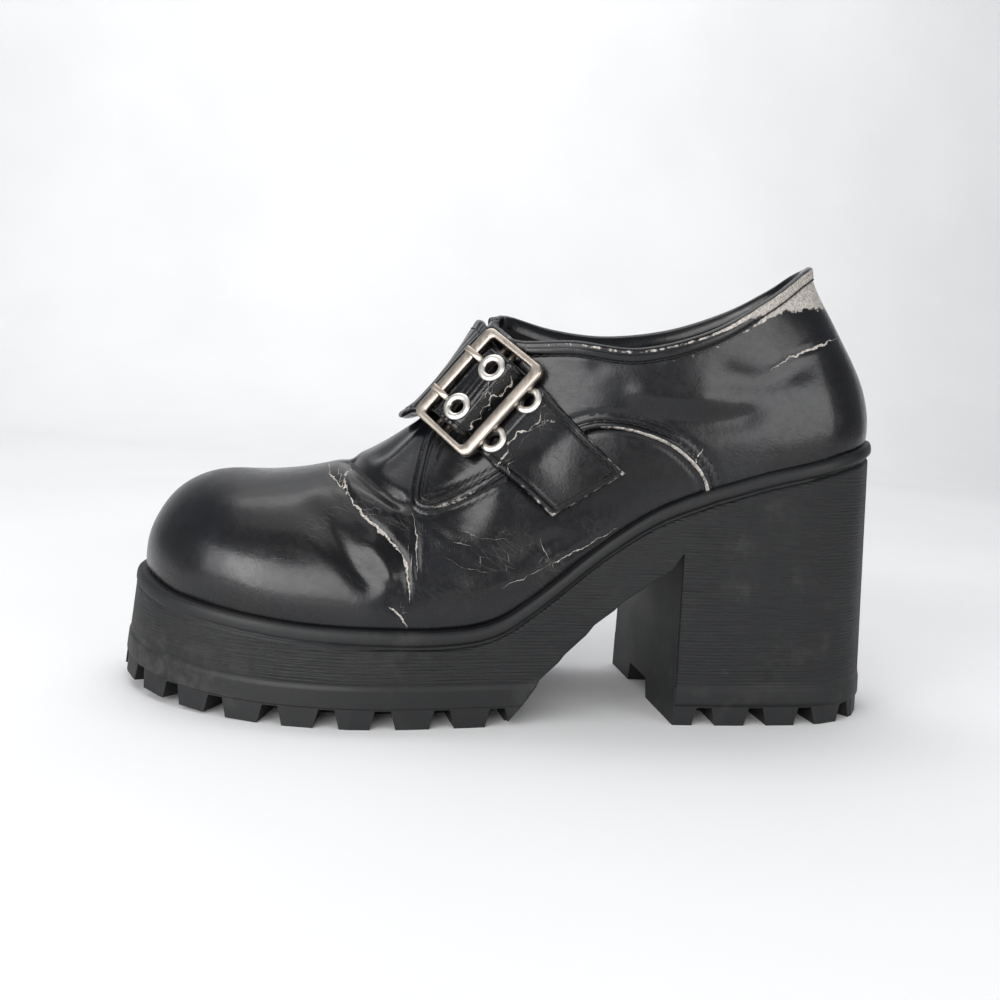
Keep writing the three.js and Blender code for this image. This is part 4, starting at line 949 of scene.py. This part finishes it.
def strap_mesh():
    """The strap's closed section: top and underside lie half the thickness off the middle, round at the rim.

    Wrinkles, the stitches' groove and a slight bow move the top. Cracks across it and the rubbed places over
    the bars and at the corners are painted on."""
    base, up, across, crest = strap_surface()
    rows, columns = base.shape[:2]
    at = local(base)
    u, t = at[..., 0], at[..., 1]
    outer_rows = (np.arange(rows) >= crest)[:, None]
    edge = (1 - np.abs(across)) * NARROW
    rim = np.sqrt(1 - (1 - np.clip(edge, 0, 1)) ** 2)[None]
    ends = np.minimum(np.arange(rows)[:, None] * 0.45, (rows - 1 - np.arange(rows))[:, None] * 0.55)
    rim = rim * np.sqrt(1 - (1 - np.clip(ends, 0, 1)) ** 2)
    wrinkle = 0.22 * np.sin(u * 2.1 + 0.8 * np.sin(t / 3.1)) * bump(u, -19, 7)
    wrinkle = (wrinkle + 0.16 * np.sin(u * 3.3 + t / 4) * bump(u, 2, 6)) * outer_rows
    stitch_line = -0.22 * bump(edge[None], 2.3, 0.5) * np.ones((rows, 1))
    bow = 0.25 * np.sin(t / 5.5 + u / 17) * smooth(u, 16, 40)
    mid = STRAP / 2
    top = base + up * (mid + mid * rim + (wrinkle + stitch_line + bow + 0.15) * rim)[..., None]
    low = base + up * (mid - mid * rim + bow * rim)[..., None]
    loop = np.concatenate([top, low[:, ::-1]], axis=1)
    faces = grid_faces(rows, 2 * columns, close_columns=True)
    cap_a = np.stack([np.arange(columns - 1), np.arange(1, columns), 2 * columns - 2 - np.arange(columns - 1),
                      2 * columns - 1 - np.arange(columns - 1)], axis=-1)
    cap_b = cap_a[:, ::-1] + (rows - 1) * 2 * columns
    faces = np.concatenate([faces, cap_a, cap_b])[:, ::-1]
    bars = 0.3 * bump(u, 7.3, 1.5) + 0.3 * bump(u, -7.5, 1.8) + 0.25 * bump(u, 20, 2.5)
    corners = 0.9 * bump(ends, 0, 1.6) * bump(edge[None], 0, 2.2)
    rub = (bars + corners) * (0.3 + 0.7 * outer_rows)
    side, near, wide = np.full(u.shape, FAR), np.full(u.shape, FAR), np.zeros(u.shape)
    for k, (middle_u, width, sway, low_t, high_t) in enumerate(STRAP_CRACKS):
        away = u - middle_u - sway * np.sin(t / 2.6 + 1.7 * k) - 0.4 * np.sin(t * 1.3 + k)
        mine = (np.abs(away) < near) & outer_rows
        tapered = width * smooth(t, low_t - 1, low_t + 3) * (1 - smooth(t, high_t - 3, high_t + 1))
        side = np.where(mine, away, side)
        near = np.where(mine, np.abs(away), near)
        wide = np.where(mine, tapered, wide)
    along_edge = np.minimum(edge[None], ends)
    flex = np.clip(bump(u, -20, 10) + bump(u, 22, 8) * 0.8, 0, 1) * outer_rows
    both = lambda a: np.concatenate([a, a[:, ::-1]], axis=1)
    painted = {"worn": rub, "flex": 0.6 * flex, "crack_side": side, "crack_near": near, "crack_width": wide,
               "panel": along_edge + 0.1, "edge_worn": 0.3 + 0.16 * smooth(u, 15, 43)}
    attributes = {key: both(values) for key, values in painted.items()}
    return make_mesh("strap_leather", loop, faces, [leather], attributes=attributes)


# %% Holes and slots of the strap
def cylinder(name, u, t, radius, low, high, sides=40):
    """A closed cylinder along w, for cutting."""
    a = np.linspace(0, 2 * np.pi, sides, endpoint=False)
    ring_uv = np.stack([u + radius * np.cos(a), t + radius * np.sin(a)], axis=-1)
    rows = []
    for w, shrink in ((low, 0), (low, 1), (high, 1), (high, 0)):
        uv = np.array([u, t]) + (ring_uv - [u, t]) * shrink
        rows.append(np.column_stack([uv, np.full(sides, w)]))
    return make_mesh(name, world_of(np.array(rows)), grid_faces(4, sides, close_columns=True), [])


def box_mesh(name, lows, highs):
    """A closed box between two (u, t, w) corners, for cutting."""
    (a, b, c), (d, e, f) = lows, highs
    p = np.array([[a, b, c], [d, b, c], [d, e, c], [a, e, c], [a, b, f], [d, b, f], [d, e, f], [a, e, f]])
    faces = np.array([[0, 3, 2, 1], [4, 5, 6, 7], [0, 1, 5, 4], [1, 2, 6, 5], [2, 3, 7, 6], [3, 0, 4, 7]])
    return make_mesh(name, world_of(p), faces, [], merge=0)


def cut(piece, cutters):
    """Takes the cutters out with exact booleans, keeps the result as the mesh, removes the cutters."""
    for cutter in cutters:
        modifier = piece.modifiers.new("cut", "BOOLEAN")
        modifier.operation = "DIFFERENCE"
        modifier.solver = "EXACT"
        modifier.object = cutter
    graph = bpy.context.evaluated_depsgraph_get()
    done = bpy.data.meshes.new_from_object(piece.evaluated_get(graph))
    piece.modifiers.clear()
    piece.data = done
    for cutter in cutters:
        bpy.data.objects.remove(cutter)


EYELETS = [(u, t) for u in (0.0, PITCH_ALONG) for t in (-SPACING / 2, SPACING / 2)]
strap_piece = strap_mesh()
cutters = [cylinder(f"bore_{k}", u, t, HOLE / 2 + 0.6, -12, 10) for k, (u, t) in enumerate(EYELETS)]
for k, t in enumerate((-SPACING / 2, SPACING / 2)):
    cutters.append(box_mesh(f"slot_{k}", (-8.6, t - 1.6, -6), (-5.0, t + 1.6, 6)))
cut(strap_piece, cutters)
finish_piece(strap_piece, "leather", "strap")


# %% [markdown]
# ## Buckle, prongs and eyelets
# A cast frame in satin nickel with softly bevelled edges: a section swept round a rounded rectangle. Two
# thin bars cross it under the strap. Two flat prongs come up through slots and lie on the first bar. The
# eyelets are rolled rings.

# %% Buckle
def rounded_loop(wide, high, radius, per_corner=12):
    """Rounded rectangle: four quarter circles joined by straight sides, as many points on each."""
    a = np.linspace(0, np.pi / 2, per_corner)
    points = []
    for k, (sx, sy) in enumerate(((1, 1), (-1, 1), (-1, -1), (1, -1))):
        angle = a + k * np.pi / 2
        points.append(np.stack([sx * (wide / 2 - radius) + radius * np.cos(angle),
                                sy * (high / 2 - radius) + radius * np.sin(angle)], axis=-1))
    return np.concatenate(points)


def buckle_mesh():
    """The frame, a bevelled section between two rounded rectangles, and the two round cross bars."""
    outer = rounded_loop(FRAME_ACROSS, FRAME_LONG, CORNER)
    inner = rounded_loop(FRAME_ACROSS - 2 * LONG_BAR, FRAME_LONG - 2 * SIDE_BAR, CORNER / 2)
    h = FRAME_THICK / 2
    profile = [(0.0, -h + 0.4), (0.12, -h), (0.88, -h), (1.0, -h + 0.4), (1.0, h - 0.6), (0.97, h - 0.35),
               (0.9, h - 0.12), (0.8, h), (0.5, h + 0.04), (0.2, h), (0.1, h - 0.12), (0.03, h - 0.35),
               (0.0, h - 0.6)]
    rows = []
    for share, w in profile:
        rows.append(np.column_stack([inner + (outer - inner) * share, np.full(len(outer), w)]))
    points = [np.array(rows).reshape(-1, 3)]
    faces = [grid_faces(len(profile), len(outer), close_rows=True, close_columns=True)]
    start = len(points[0])
    around = 20
    a = np.linspace(0, 2 * np.pi, around, endpoint=False)
    for side in (-1, 1):
        u0 = CROSS_MIDDLE + side * CROSS_PITCH / 2
        reach = FRAME_LONG / 2 - SIDE_BAR + 0.8
        rings = []
        for t, r in ((-reach, 0), (-reach, CROSS / 2), (reach, CROSS / 2), (reach, 0)):
            w = -CROSS_DROP + r * np.sin(a)
            rings.append(np.column_stack([u0 + r * np.cos(a), np.full(around, t), w]))
        points.append(np.array(rings).reshape(-1, 3))
        faces.append(grid_faces(4, around, close_columns=True)[:, ::-1] + start)
        start += 4 * around
    return make_mesh("buckle", world_of(np.concatenate(points)), np.concatenate(faces), [nickel])


# Middle line of a prong in u and w
PRONG_LINE = [(-5.55, -1.7), (-5.60, -0.2), (-6.10, 1.0), (-7.30, 1.9), (-9.20, 2.25), (-12.6, 2.25),
              (-13.4, 2.05)]


def prong_mesh(name, t0, count=40, around=16):
    """A bent strip: its middle line in (u, w), a rounded flat section that narrows to the tip."""
    line = through(PRONG_LINE, count)
    ahead = np.gradient(line, axis=0)
    ahead /= np.linalg.norm(ahead, axis=1, keepdims=True)
    out = np.stack([-ahead[:, 1], ahead[:, 0]], axis=-1)
    a = np.linspace(0, 2 * np.pi, around, endpoint=False)
    share = np.linspace(0, 1, count)
    size = np.sqrt(np.clip(1 - smooth(share, 0.86, 1.0) ** 2, 0.02, 1)) * np.where(share < 0.02, 0.02, 1)
    squash = lambda c: np.sign(c) * np.abs(c) ** 0.6
    t = t0 + size[:, None] * PRONG / 2 * squash(np.cos(a))[None]
    off = size[:, None] * 0.6 * squash(np.sin(a))[None]
    u = line[:, :1] + out[:, :1] * off
    w = line[:, 1:] + out[:, 1:] * off
    points = world_of(np.stack([u, t, w], axis=-1))
    return make_mesh(name, points, grid_faces(count, around, close_columns=True), [nickel])


def eyelet_mesh(name, u, t, around=48):
    """A ring turned round w: barrel inside the strap, rolled rim on top."""
    r0, r1 = HOLE / 2, EYELET / 2
    bed = float(strap_bed(np.array(u)))
    top = bed + STRAP + 0.35
    a = np.linspace(-0.25, 1.0, 12) * np.pi
    rim = [((r0 + r1) / 2 + (r1 - r0) / 2 * np.cos(x), top + 0.55 * np.sin(x)) for x in a]
    profile = np.array(rim + [(r0, bed), (r0 + 0.6, bed), (r0 + 0.6, top - 0.4)])
    b = np.linspace(0, 2 * np.pi, around, endpoint=False)
    rows = [np.column_stack([u + r * np.cos(b), t + r * np.sin(b), np.full(around, w)]) for r, w in profile]
    faces = grid_faces(len(profile), around, close_rows=True, close_columns=True)
    return make_mesh(name, world_of(np.array(rows)), faces, [bright_nickel])


def outward(piece):
    """Turns all faces out, for closed shapes swept either way round."""
    tidy = bmesh.new()
    tidy.from_mesh(piece.data)
    bmesh.ops.recalc_face_normals(tidy, faces=tidy.faces)
    tidy.to_mesh(piece.data)
    tidy.free()
    return piece


finish_piece(outward(buckle_mesh()), "nickel", "buckle_frame")
for k, side in enumerate((-1, 1)):
    finish_piece(outward(prong_mesh(f"prong_bent_{k + 1}", side * SPACING / 2)), "nickel", f"prong_{k + 1}")
for k, (u, t) in enumerate(EYELETS):
    finish_piece(outward(eyelet_mesh(f"eyelet_rolled_{k + 1}", u, t)), "nickel", f"eyelet_{k + 1}")


# %% [markdown]
# ## Stitching
# Every stitch is a small rounded bar of thread, 2.2 mm long and 2.9 mm from the next, half sunk in the
# leather. The rows follow the quarters' edges (two rows), the collar (one) and the strap's edge (one).

# %% Stitches
def ball_of_thread(around=8, along_it=6):
    """Points of a unit ball in rows from one pole to the other."""
    a = np.linspace(0, 2 * np.pi, around, endpoint=False)
    b = np.linspace(0.08, np.pi - 0.08, along_it)
    b, a = np.meshgrid(b, a, indexing="ij")
    ball = np.stack([np.cos(b), np.sin(b) * np.cos(a), np.sin(b) * np.sin(a)], axis=-1)
    return ball.reshape(-1, 3), grid_faces(along_it, around, close_columns=True)


def stitched(name, rows, pitch=2.9, long=2.2, thick=0.62):
    """One mesh with a stitch at every pitch of each row; a row is its points and the normals there."""
    ball, ball_faces = ball_of_thread()
    points, count = [], 0
    for path, out in rows:
        walked = np.concatenate([[0], np.cumsum(np.linalg.norm(np.diff(path, axis=0), axis=1))])
        at = np.arange(pitch / 2, walked[-1], pitch)
        if len(at) < 2:
            continue
        pick = lambda values, s: np.stack([np.interp(s, walked, values[:, k]) for k in range(3)], axis=-1)
        middle_at, up = pick(path, at), pick(out, at)
        ahead = pick(path, at + 0.5) - pick(path, at - 0.5)
        ahead /= np.linalg.norm(ahead, axis=1, keepdims=True)
        up = up - ahead * (up * ahead).sum(axis=1, keepdims=True)
        up /= np.linalg.norm(up, axis=1, keepdims=True)
        beside = np.cross(up, ahead)
        axes = np.stack([ahead * long / 2, beside * thick / 2, up * thick / 2], axis=1)
        points.append((middle_at[:, None] + ball @ axes).reshape(-1, 3))
        count += len(at)
    faces = ball_faces[None] + (np.arange(count) * len(ball))[:, None, None]
    piece = make_mesh(name, np.concatenate(points), faces.reshape(-1, 4), [thread], merge=0)
    return finish_piece(outward(piece), "leather")


def beside_edge(edge, side, depth):
    """Points on the skin at a depth inside a quarter's edge, where neither strap nor buckle is over them."""
    ahead = np.gradient(edge, axis=0)
    across_it = np.stack([-ahead[:, 1], ahead[:, 0]], axis=-1)
    across_it /= np.linalg.norm(across_it, axis=1, keepdims=True)
    trial = edge + across_it
    flag = into_quarter(np.stack([trial[:, 0], np.full(len(edge), side * 20.0), trial[:, 1]], axis=-1))
    line = edge + across_it * depth * np.sign(flag)[:, None]
    rows, path, out = [], [], []
    for x, z in line:
        hit, normal, _, _ = skin.ray_cast(Vector((x, side * 200, z)) * MM, Vector((0, -side, 0)))
        under_strap = True
        if hit is not None:
            at = np.array(hit) / MM
            u, t, _ = local(at if side < 0 else at * [1, -1, 1])
            reach = BAND_HALF + 9 if u < -12 else (16.0 if side < 0 else BAND_HALF + 2)
            under_strap = abs(t) < reach and -30 < u < (TAIL + 2 if side < 0 else BAND_END + 2)
        if under_strap:
            rows.append((np.array(path), np.array(out)))
            path, out = [], []
        else:
            path.append(at)
            out.append(np.array(normal) * (1 if normal[1] * side > 0 else -1))
    rows.append((np.array(path), np.array(out)))
    return [(a, b) for a, b in rows if len(a) > 4]


# %% Rows of stitches
upper_mesh = upper_piece.data
skin = BVHTree.FromPolygons([v.co for v in upper_mesh.vertices], [f.vertices for f in upper_mesh.polygons])
quarter_rows = []
for edge, side in ((OUTER_EDGE, -1), (INNER_EDGE, 1)):
    for depth in (2.4, 4.8):
        quarter_rows += beside_edge(edge, side, depth)
stitched("thread_quarters", quarter_rows)

COLLAR_ROW = 3.7
collar_q = np.linspace(THROAT + 0.7, RING - THROAT - 0.7, 700)
collar_wall = np.linalg.norm(upper(collar_q, 1.0) - upper(collar_q, 0.93), axis=-1) / 0.07
collar_v = 1 - COLLAR_ROW / collar_wall
collar_n = normal_of(collar_q, collar_v)
collar_p = upper(collar_q, collar_v)
collar_p = collar_p + collar_n * (relief_of(collar_p)[0] + 0.1)[:, None]
stitched("thread_collar", [(collar_p, collar_n)])

base, up, across, crest = strap_surface()
top = base + up * STRAP
last = len(base) - 5
columns = [int(np.argmin(np.abs(across - share))) for share in (-0.84, 0.84)]
rows_of_strap = [(top[crest - 60:last, k], up[crest - 60:last, k]) for k in columns]
span = slice(columns[0], columns[1] + 1)
rows_of_strap.append((top[last, span], up[last, span]))
stitched("thread_strap", rows_of_strap)


# %% [markdown]
# ## The side of the sole
# The platform and the heel are one moulding. The CAD solid has its lugs, arch and steps; its side gets a
# dense skin a quarter of a millimetre proud, with the rounded bead under the lip, the soft groove below it
# and the smooth band above the lugs. The lugs themselves stay the CAD solid, welded and with a small bevel.

# %% Side of the sole
# Where the heel's front and the arch begin, the arch's skew and height
BREAST_X, ARCH_FROM, SKEW, ARCH_HIGH = 52.0, 3.0, 0.086, 58.0
# The upper zone and its share of the rows, how proud the skin is, the bead's swell and roundness
TOP_ZONE, TOP_SHARE, SKIN, SWELL, ROUND = 7, 0.4, 0.25, 0.55, 1.1


def arch_height(q):
    """Underside of the arch at the outline's point q: the side-view curve, skewed from side to side."""
    x, y = outline(q)
    back = x + SKEW * y * np.clip((x - ARCH_FROM) / (BREAST_X - ARCH_FROM), 0, 1)
    return ARCH_HIGH * along(ARCH, (back - ARCH_FROM) / (BREAST_X - ARCH_FROM)), back


def breast_rib(side):
    """The q at which the outline meets the heel's front face, outer side -1, inner side 1."""
    q = np.linspace(12, 14.5, 400)
    q = q if side < 0 else RING - q
    return float(np.interp(BREAST_X, arch_height(q)[1], q))


def sole_side(q, t, low):
    """Side of the sole from its lower edge (t 0) to the ledge by the leather (t 1 to 1.2), as insets."""
    x, _ = outline(q)
    lip, tread, flare = lip_height(x), tread_height(x), rib("flare", q)
    split = 1 - TOP_SHARE
    z = low + (lip - TOP_ZONE - low) * np.clip(t / split, 0, 1)
    z = z + TOP_ZONE * np.clip((t - split) / TOP_SHARE, 0, 1)
    lean = flare * (z - tread) / (lip - tread)
    has_bead = smooth(x, -80, -27)
    band = BAND_STEP * smooth(z, tread + BAND - 0.8, tread + BAND + 0.8)
    in_bead = np.clip((z - (lip - BEAD)) / BEAD, 0, 1)
    round_off = 1 - np.sqrt(np.clip(1 - (2 * in_bead - 1) ** 2 * 0.97, 0, 1))
    bead = np.where(in_bead > 0, round_off * (0.25 + 0.75 * has_bead) * ROUND - SWELL * has_bead, 0)
    bead = np.where(in_bead > 0.5, round_off * ROUND - SWELL * has_bead, bead)
    groove = has_bead * BEAD_STEP * bump(z, lip - BEAD - 0.2, 0.9)
    inset = lean + band * (1 - smooth(in_bead, 0, 0.3)) + bead + groove - SKIN
    ledge = np.clip(t - 1, 0, 1) * 5
    inset = inset + ledge * (LEDGE + 0.9)
    z = z + 0.25 * np.sin(np.pi * ledge) - 0.1 * ledge
    px, py = outline(q, inset)
    ribbed = smooth(z, tread + BAND + 0.2, tread + BAND + 2.5) * (1 - smooth(z, lip - BEAD - 1.2, lip - BEAD))
    scuffed = bump(x, -118, 30) * smooth(tread + 30 - z, 0, 18) * 0.9
    return np.stack([px, py + SHIFT, z], axis=-1), ribbed, scuffed


def sole_skin(name, columns=(690, 330), rows=82):
    """One closed strip round the sole; its lower edge follows lugs and arch, and drops at the heel."""
    outer_breast, inner_breast = breast_rib(-1), breast_rib(1)
    front = np.linspace(inner_breast - RING, outer_breast, columns[0])
    heel = np.linspace(outer_breast + 0.03, inner_breast - 0.03, columns[1])
    q = np.concatenate([front, heel])
    x, _ = outline(q)
    high, back = arch_height(q)
    low = tread_height(x) + LUG + 0.5
    arched = (back > -2) & (np.arange(len(q)) < columns[0])
    low = np.where(arched, np.maximum(low, high + 0.3), low)
    t = np.concatenate([np.linspace(0, 1, rows), 1 + np.linspace(0.03, 0.2, 5)])
    qq, tt = np.meshgrid(q, t)
    outer, ribbed, scuffed = sole_side(qq, tt, low[None])
    back_points = []
    for level in (1.0, 0.0):
        px, py = outline(q, rib("flare", q) * level + 1.6)
        z = lip_height(x) - 1.5 if level else low + 0.1
        back_points.append(np.stack([px, py + SHIFT, z], axis=-1))
    points = np.concatenate([outer, np.array(back_points)])
    extra = np.zeros((2, len(q)))
    faces = grid_faces(len(points), len(q), close_rows=True, close_columns=True)
    attributes = {"ribbed": np.vstack([ribbed, extra]), "scuffed": np.vstack([scuffed, extra])}
    return finish_piece(make_mesh(name, points, faces, [side_rubber], attributes=attributes), "rubber")


sole_skin("sole_side_skin")


# %% Tread and insole
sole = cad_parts["sole_unit"]
sole.data.materials.clear()
sole.data.materials.append(tread_rubber)
weld = sole.modifiers.new("weld", "WELD")
weld.merge_threshold = 0.01 * MM
bevel = sole.modifiers.new("bevel", "BEVEL")
bevel.width = 1.0 * MM
bevel.segments = 3
bevel.limit_method = "ANGLE"
bevel.angle_limit = np.radians(50)
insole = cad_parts["insole"]
insole.data.materials.clear()
insole.data.materials.append(lining)
print("tread bevelled by", bevel.width / MM, "mm")


# %% [markdown]
# ## Floor and light
# White board that curves up behind the shoe, one large soft panel overhead and one for the board. Three
# more soft panels are there for their reflections: in front for the toe and the quarter, at the heel's side
# for the rubber, and at the toe for its round end. The rest of the room is dim, so black leather stays
# black.

# %% Floor
def curved_board():
    """A flat floor, a quarter circle of 0.5 m radius up behind the shoe, and a wall."""
    a = np.linspace(0, np.pi / 2, 16)
    line = [(-2500.0, 0.0), (900.0, 0.0)]
    line += [(900 + 500 * np.sin(x), 500 - 500 * np.cos(x)) for x in a[1:]]
    line += [(1400.0, 3200.0)]
    line = np.array(line)
    sides = np.array([-2600.0, 2600.0])
    across_it = np.broadcast_to(sides, (len(line), 2))
    points = np.stack([across_it, np.repeat(line[:, :1], 2, 1), np.repeat(line[:, 1:], 2, 1)], axis=-1)
    material, tree, shader = new_material("matt_white_board")
    at = node(tree, "TexCoord", **OBJECT)
    cloud = node(tree, "TexNoise", {"Vector": at, "Scale": 3.0, "Detail": 3.0, "Roughness": 0.55})
    shade = node(tree, "MapRange", [cloud, 0.3, 0.7], **SOFT)
    tone = node(tree, "Mix", {0: shade, 6: "ebebec", 7: "f0f0f0"}, **RGB)
    fill(tree, shader, {"Base Color": tone, "Roughness": 0.75})
    make_mesh("board", points, grid_faces(len(line), 2)[:, ::-1], [material], merge=0)


# %% Light
def area_light(name, place, aim, size, power):
    """A soft rectangular panel at a place in metres, turned to what it aims at."""
    data = bpy.data.lights.new(name, "AREA")
    data.shape = "RECTANGLE"
    data.size, data.size_y = size
    data.energy = power
    light = bpy.data.objects.new(name, data)
    light.location = place
    light.rotation_euler = (Vector(aim) - Vector(place)).to_track_quat("-Z", "Y").to_euler()
    bpy.context.scene.collection.objects.link(light)


curved_board()
area_light("overhead_panel", (-0.25, 0.1, 1.3), (0, 0, 0), (1.5, 1.1), 5.8)
area_light("board_panel", (0.0, 0.45, 1.7), (0, 1.3, 0.4), (2.0, 0.6), 9.5)
area_light("front_panel", (-0.7, -1.25, 0.5), (0, 0, 0.06), (1.5, 0.8), 19)
area_light("heel_panel", (0.9, -1.05, 0.4), (0, 0, 0.12), (0.9, 0.6), 6)
area_light("toe_panel", (-1.25, -0.75, 0.45), (-0.08, 0, 0.05), (0.7, 0.7), 5)
world = bpy.data.worlds.new("dim_room")
world.use_nodes = True
fill(world.node_tree, world.node_tree.nodes["Background"], {"Color": "f4f6fa", "Strength": 0.3})
bpy.context.scene.world = world
bpy.context.scene.view_settings.view_transform = "Standard"
bpy.context.scene.view_settings.gamma = 0.9
